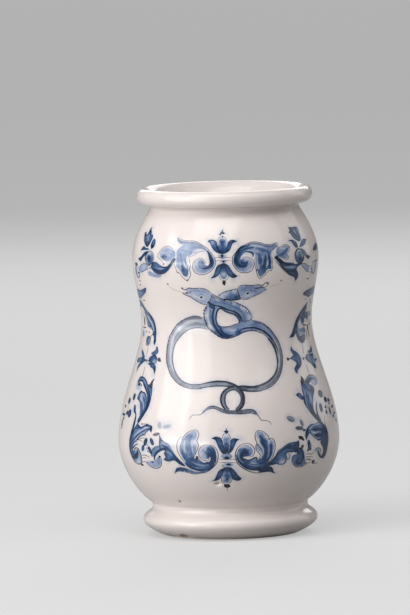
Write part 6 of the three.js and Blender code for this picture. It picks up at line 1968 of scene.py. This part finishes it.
# %% Two rough lumps
CHIP = dict(radius=50, rise=1, turn=-38, width=9, tall=6.8, deep=6.2, seed=5)
FLAKE = dict(radius=66.9, rise=39.3, turn=-7, width=4.6, tall=3, deep=1.6, seed=8)
LUMP_WAVES, WAVE_PITCH = 14, 3    # how many waves roughen a lump, and how many cross it
WAVE_LOSS, LUMP_ROUGH = 0.35, 0.05 / 1.5   # how much weaker each next wave is, and how deep all go


def lump(name, radius, rise, turn, width, tall, deep, seed):
    """A rough pebble, centred at a radius, height and turn."""
    bpy.ops.mesh.primitive_ico_sphere_add(subdivisions=4, radius=1)
    pebble = bpy.context.object
    pebble.name = name
    rough = np.random.default_rng(seed)
    points = np.empty(len(pebble.data.vertices) * 3)
    pebble.data.vertices.foreach_get("co", points)
    points = points.reshape(-1, 3)
    waves = rough.normal(0, 1, (LUMP_WAVES, 3)) * WAVE_PITCH
    starts = rough.uniform(0, 6, LUMP_WAVES)
    swing = sum(np.sin(points @ wave + start) / (1 + i * WAVE_LOSS)
                for i, (wave, start) in enumerate(zip(waves, starts)))
    points *= (1 - LUMP_ROUGH * (swing - swing.min()))[:, None]
    points *= np.array([width / 2, deep, tall / 2])
    points += (0, -radius, rise)
    c, s = math.cos(math.radians(turn)), math.sin(math.radians(turn))
    points = points @ np.array([[c, -s, 0], [s, c, 0], [0, 0, 1]]).T * MM
    pebble.data.vertices.foreach_set("co", points.ravel())
    layer = pebble.data.color_attributes.new("paint", "FLOAT_COLOR", "POINT")
    layer.data.foreach_set("color", np.ones(len(points) * 4, np.float32))
    return pebble


chip, flake = lump("chip", **CHIP), lump("flake", **FLAKE)
print("lumps:", chip.name, CHIP["width"], "mm wide,", flake.name, FLAKE["width"], "mm wide")


# %% Cut the chip and the flake
def cut(piece, cutter):
    knife = piece.modifiers.new("cut", "BOOLEAN")
    knife.operation, knife.solver, knife.object = "DIFFERENCE", "EXACT", cutter
    before = len(piece.data.polygons)
    settle(piece)
    print(piece.name, "cut by", cutter.name, len(piece.data.polygons) - before, "faces more")


for piece, cutter in ((clay, chip), (glaze, chip), (glaze, flake)):
    cut(piece, cutter)
for cutter in (chip, flake):
    bpy.data.objects.remove(cutter)
for piece in (clay, glaze):
    piece.data.shade_smooth()

# %% [markdown]
# ## The studio
#
# The floor is a plain pale sweep that curves up far behind the jar. The two strongest soft
# lamps stand on the left and the front left, where the photographer had them: they give the
# long bright reflection down the left side. One over the front lights the rim, a low one
# lights the foot, a weaker one fills on the right, a narrow one on the right draws the edge,
# and one behind keeps the back of the jar from going dark.

# %% Floor and backdrop
PAPER_LIFT = 0.40    # how much paler the paper looks to the camera than it lights the jar
GLOSS_SHARE = 0.4    # how much of that the shine of the glaze shows
PAPER, PALE_PAPER = (0.31, 0.31, 0.31, 1), (0.33, 0.33, 0.33, 1)
FRONT_EDGE, WALL_AT, WALL_TOP, HALF_WIDTH = -9, 6.6, 6, 9   # metres
CURL, CURL_TIP = 1.4, 0.4    # metres, the size of the turn from floor to wall, and its handle's
FLOOR_GAP = 0.0002           # metres that the floor lies under the foot


def seen_directly(tree):
    """One where a ray comes from the camera or through glass, less from a gloss, none elsewhere."""
    ray = add(tree, "ShaderNodeLightPath").outputs
    gloss = maths(tree, "MULTIPLY", ray["Is Glossy Ray"], GLOSS_SHARE)
    return maths(tree, "MAXIMUM", maths(tree, "MAXIMUM", ray["Is Camera Ray"], gloss),
                 ray["Is Transmission Ray"])


def paper(name):
    finish, tree, shader = new_material(name)
    fibre = add(tree, "ShaderNodeTexCoord").outputs["Object"]
    tone = noise(tree, fibre, 3.0, 2.0)
    feed(tree, shader.inputs["Base Color"], blend(tree, tone, PAPER, PALE_PAPER))
    shader.inputs["Emission Color"].default_value = (1, 1, 1, 1)
    lift = ramp(tree, seen_directly(tree), 0.0, 1.0, 0.0, PAPER_LIFT)
    feed(tree, shader.inputs["Emission Strength"], lift)
    shader.inputs["Roughness"].default_value = 0.95
    shader.inputs["Specular IOR Level"].default_value = 0.2
    return finish


def sweep():
    """A floor that turns up into a wall behind the jar."""
    curl = bend((WALL_AT - CURL, 0), (WALL_AT - CURL_TIP, 0), (WALL_AT, CURL_TIP), (WALL_AT, CURL), 24)
    line = np.vstack([(FRONT_EDGE, 0), curl, (WALL_AT, WALL_TOP)])
    points = [(x, y, z - FLOOR_GAP) for y, z in line for x in (-HALF_WIDTH, HALF_WIDTH)]
    faces = [(2 * i, 2 * i + 1, 2 * i + 3, 2 * i + 2) for i in range(len(line) - 1)]
    mesh = bpy.data.meshes.new("studio_sweep")
    mesh.from_pydata(points, [], faces)
    mesh.shade_smooth()
    floor = bpy.data.objects.new("studio_sweep", mesh)
    bpy.context.scene.collection.objects.link(floor)
    mesh.materials.append(paper("studio_paper"))
    return floor


floor = sweep()
print("floor:", len(floor.data.polygons), "strips, wall", WALL_AT, "m behind the jar")

# %% Lamps
def lamp(name, place, at, size, watts):
    """A soft white lamp, by its place and aim in metres, its width and height, and its watts."""
    light = bpy.data.lights.new(name, "AREA")
    light.shape = "RECTANGLE"
    light.size, light.size_y = size
    light.energy = watts
    stand = bpy.data.objects.new(name, light)
    aim = Vector(at) - Vector(place)
    turn = aim.to_track_quat("-Z", "Y").to_matrix().to_4x4()
    stand.matrix_world = Matrix.Translation(place) @ turn
    bpy.context.scene.collection.objects.link(stand)


JAR_MIDDLE, JAR_FOOT = (0, 0, 0.12), (0, 0, 0.02)
lamp("key_left", (-1.90, -0.89, 0.75), JAR_MIDDLE, (1.4, 1.5), 21)
lamp("key_front_left", (-1.35, -1.73, 0.90), JAR_MIDDLE, (1.3, 1.7), 13)
lamp("low_left", (-1.15, -1.15, 0.08), JAR_FOOT, (1.5, 0.14), 4)
lamp("top_front", (-0.30, -1.00, 1.90), JAR_MIDDLE, (1.8, 1.3), 21)
lamp("fill_right", (1.39, -0.80, 1.70), JAR_MIDDLE, (1.8, 1.6), 9)
lamp("edge_right", (1.63, 0.76, 0.80), JAR_MIDDLE, (1.0, 1.4), 4)
lamp("behind", (0.10, 2.20, 1.40), JAR_MIDDLE, (2.2, 1.4), 22)

# %% The air of the studio
AIR_LIGHT, AIR_SEEN = 0.12, 0.45   # how bright it is for the jar, and for what looks straight at it

world = bpy.data.worlds.new("studio_air")
world.use_nodes = True
bpy.context.scene.world = world
air = world.node_tree
air.nodes["Background"].inputs["Color"].default_value = (1, 1, 1, 1)
brightness = ramp(air, seen_directly(air), 0.0, 1.0, AIR_LIGHT, AIR_SEEN)
feed(air, air.nodes["Background"].inputs["Strength"], brightness)
bpy.context.scene.view_settings.view_transform = "Standard"
print("air:", world.name, AIR_LIGHT, "to the jar,", AIR_SEEN, "to the camera")

# %% [markdown]
# ## The pieces on the part
#
# Each piece rides on the jar's one body and stands for its CAD node, which is hidden.

# %% Tie the pieces to the part
for piece, node, slot in ((glaze, "tin_glaze_coat", "tin_glaze"), (clay, "earthenware_body", "bare_clay")):
    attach(piece, "root")
    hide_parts(node)
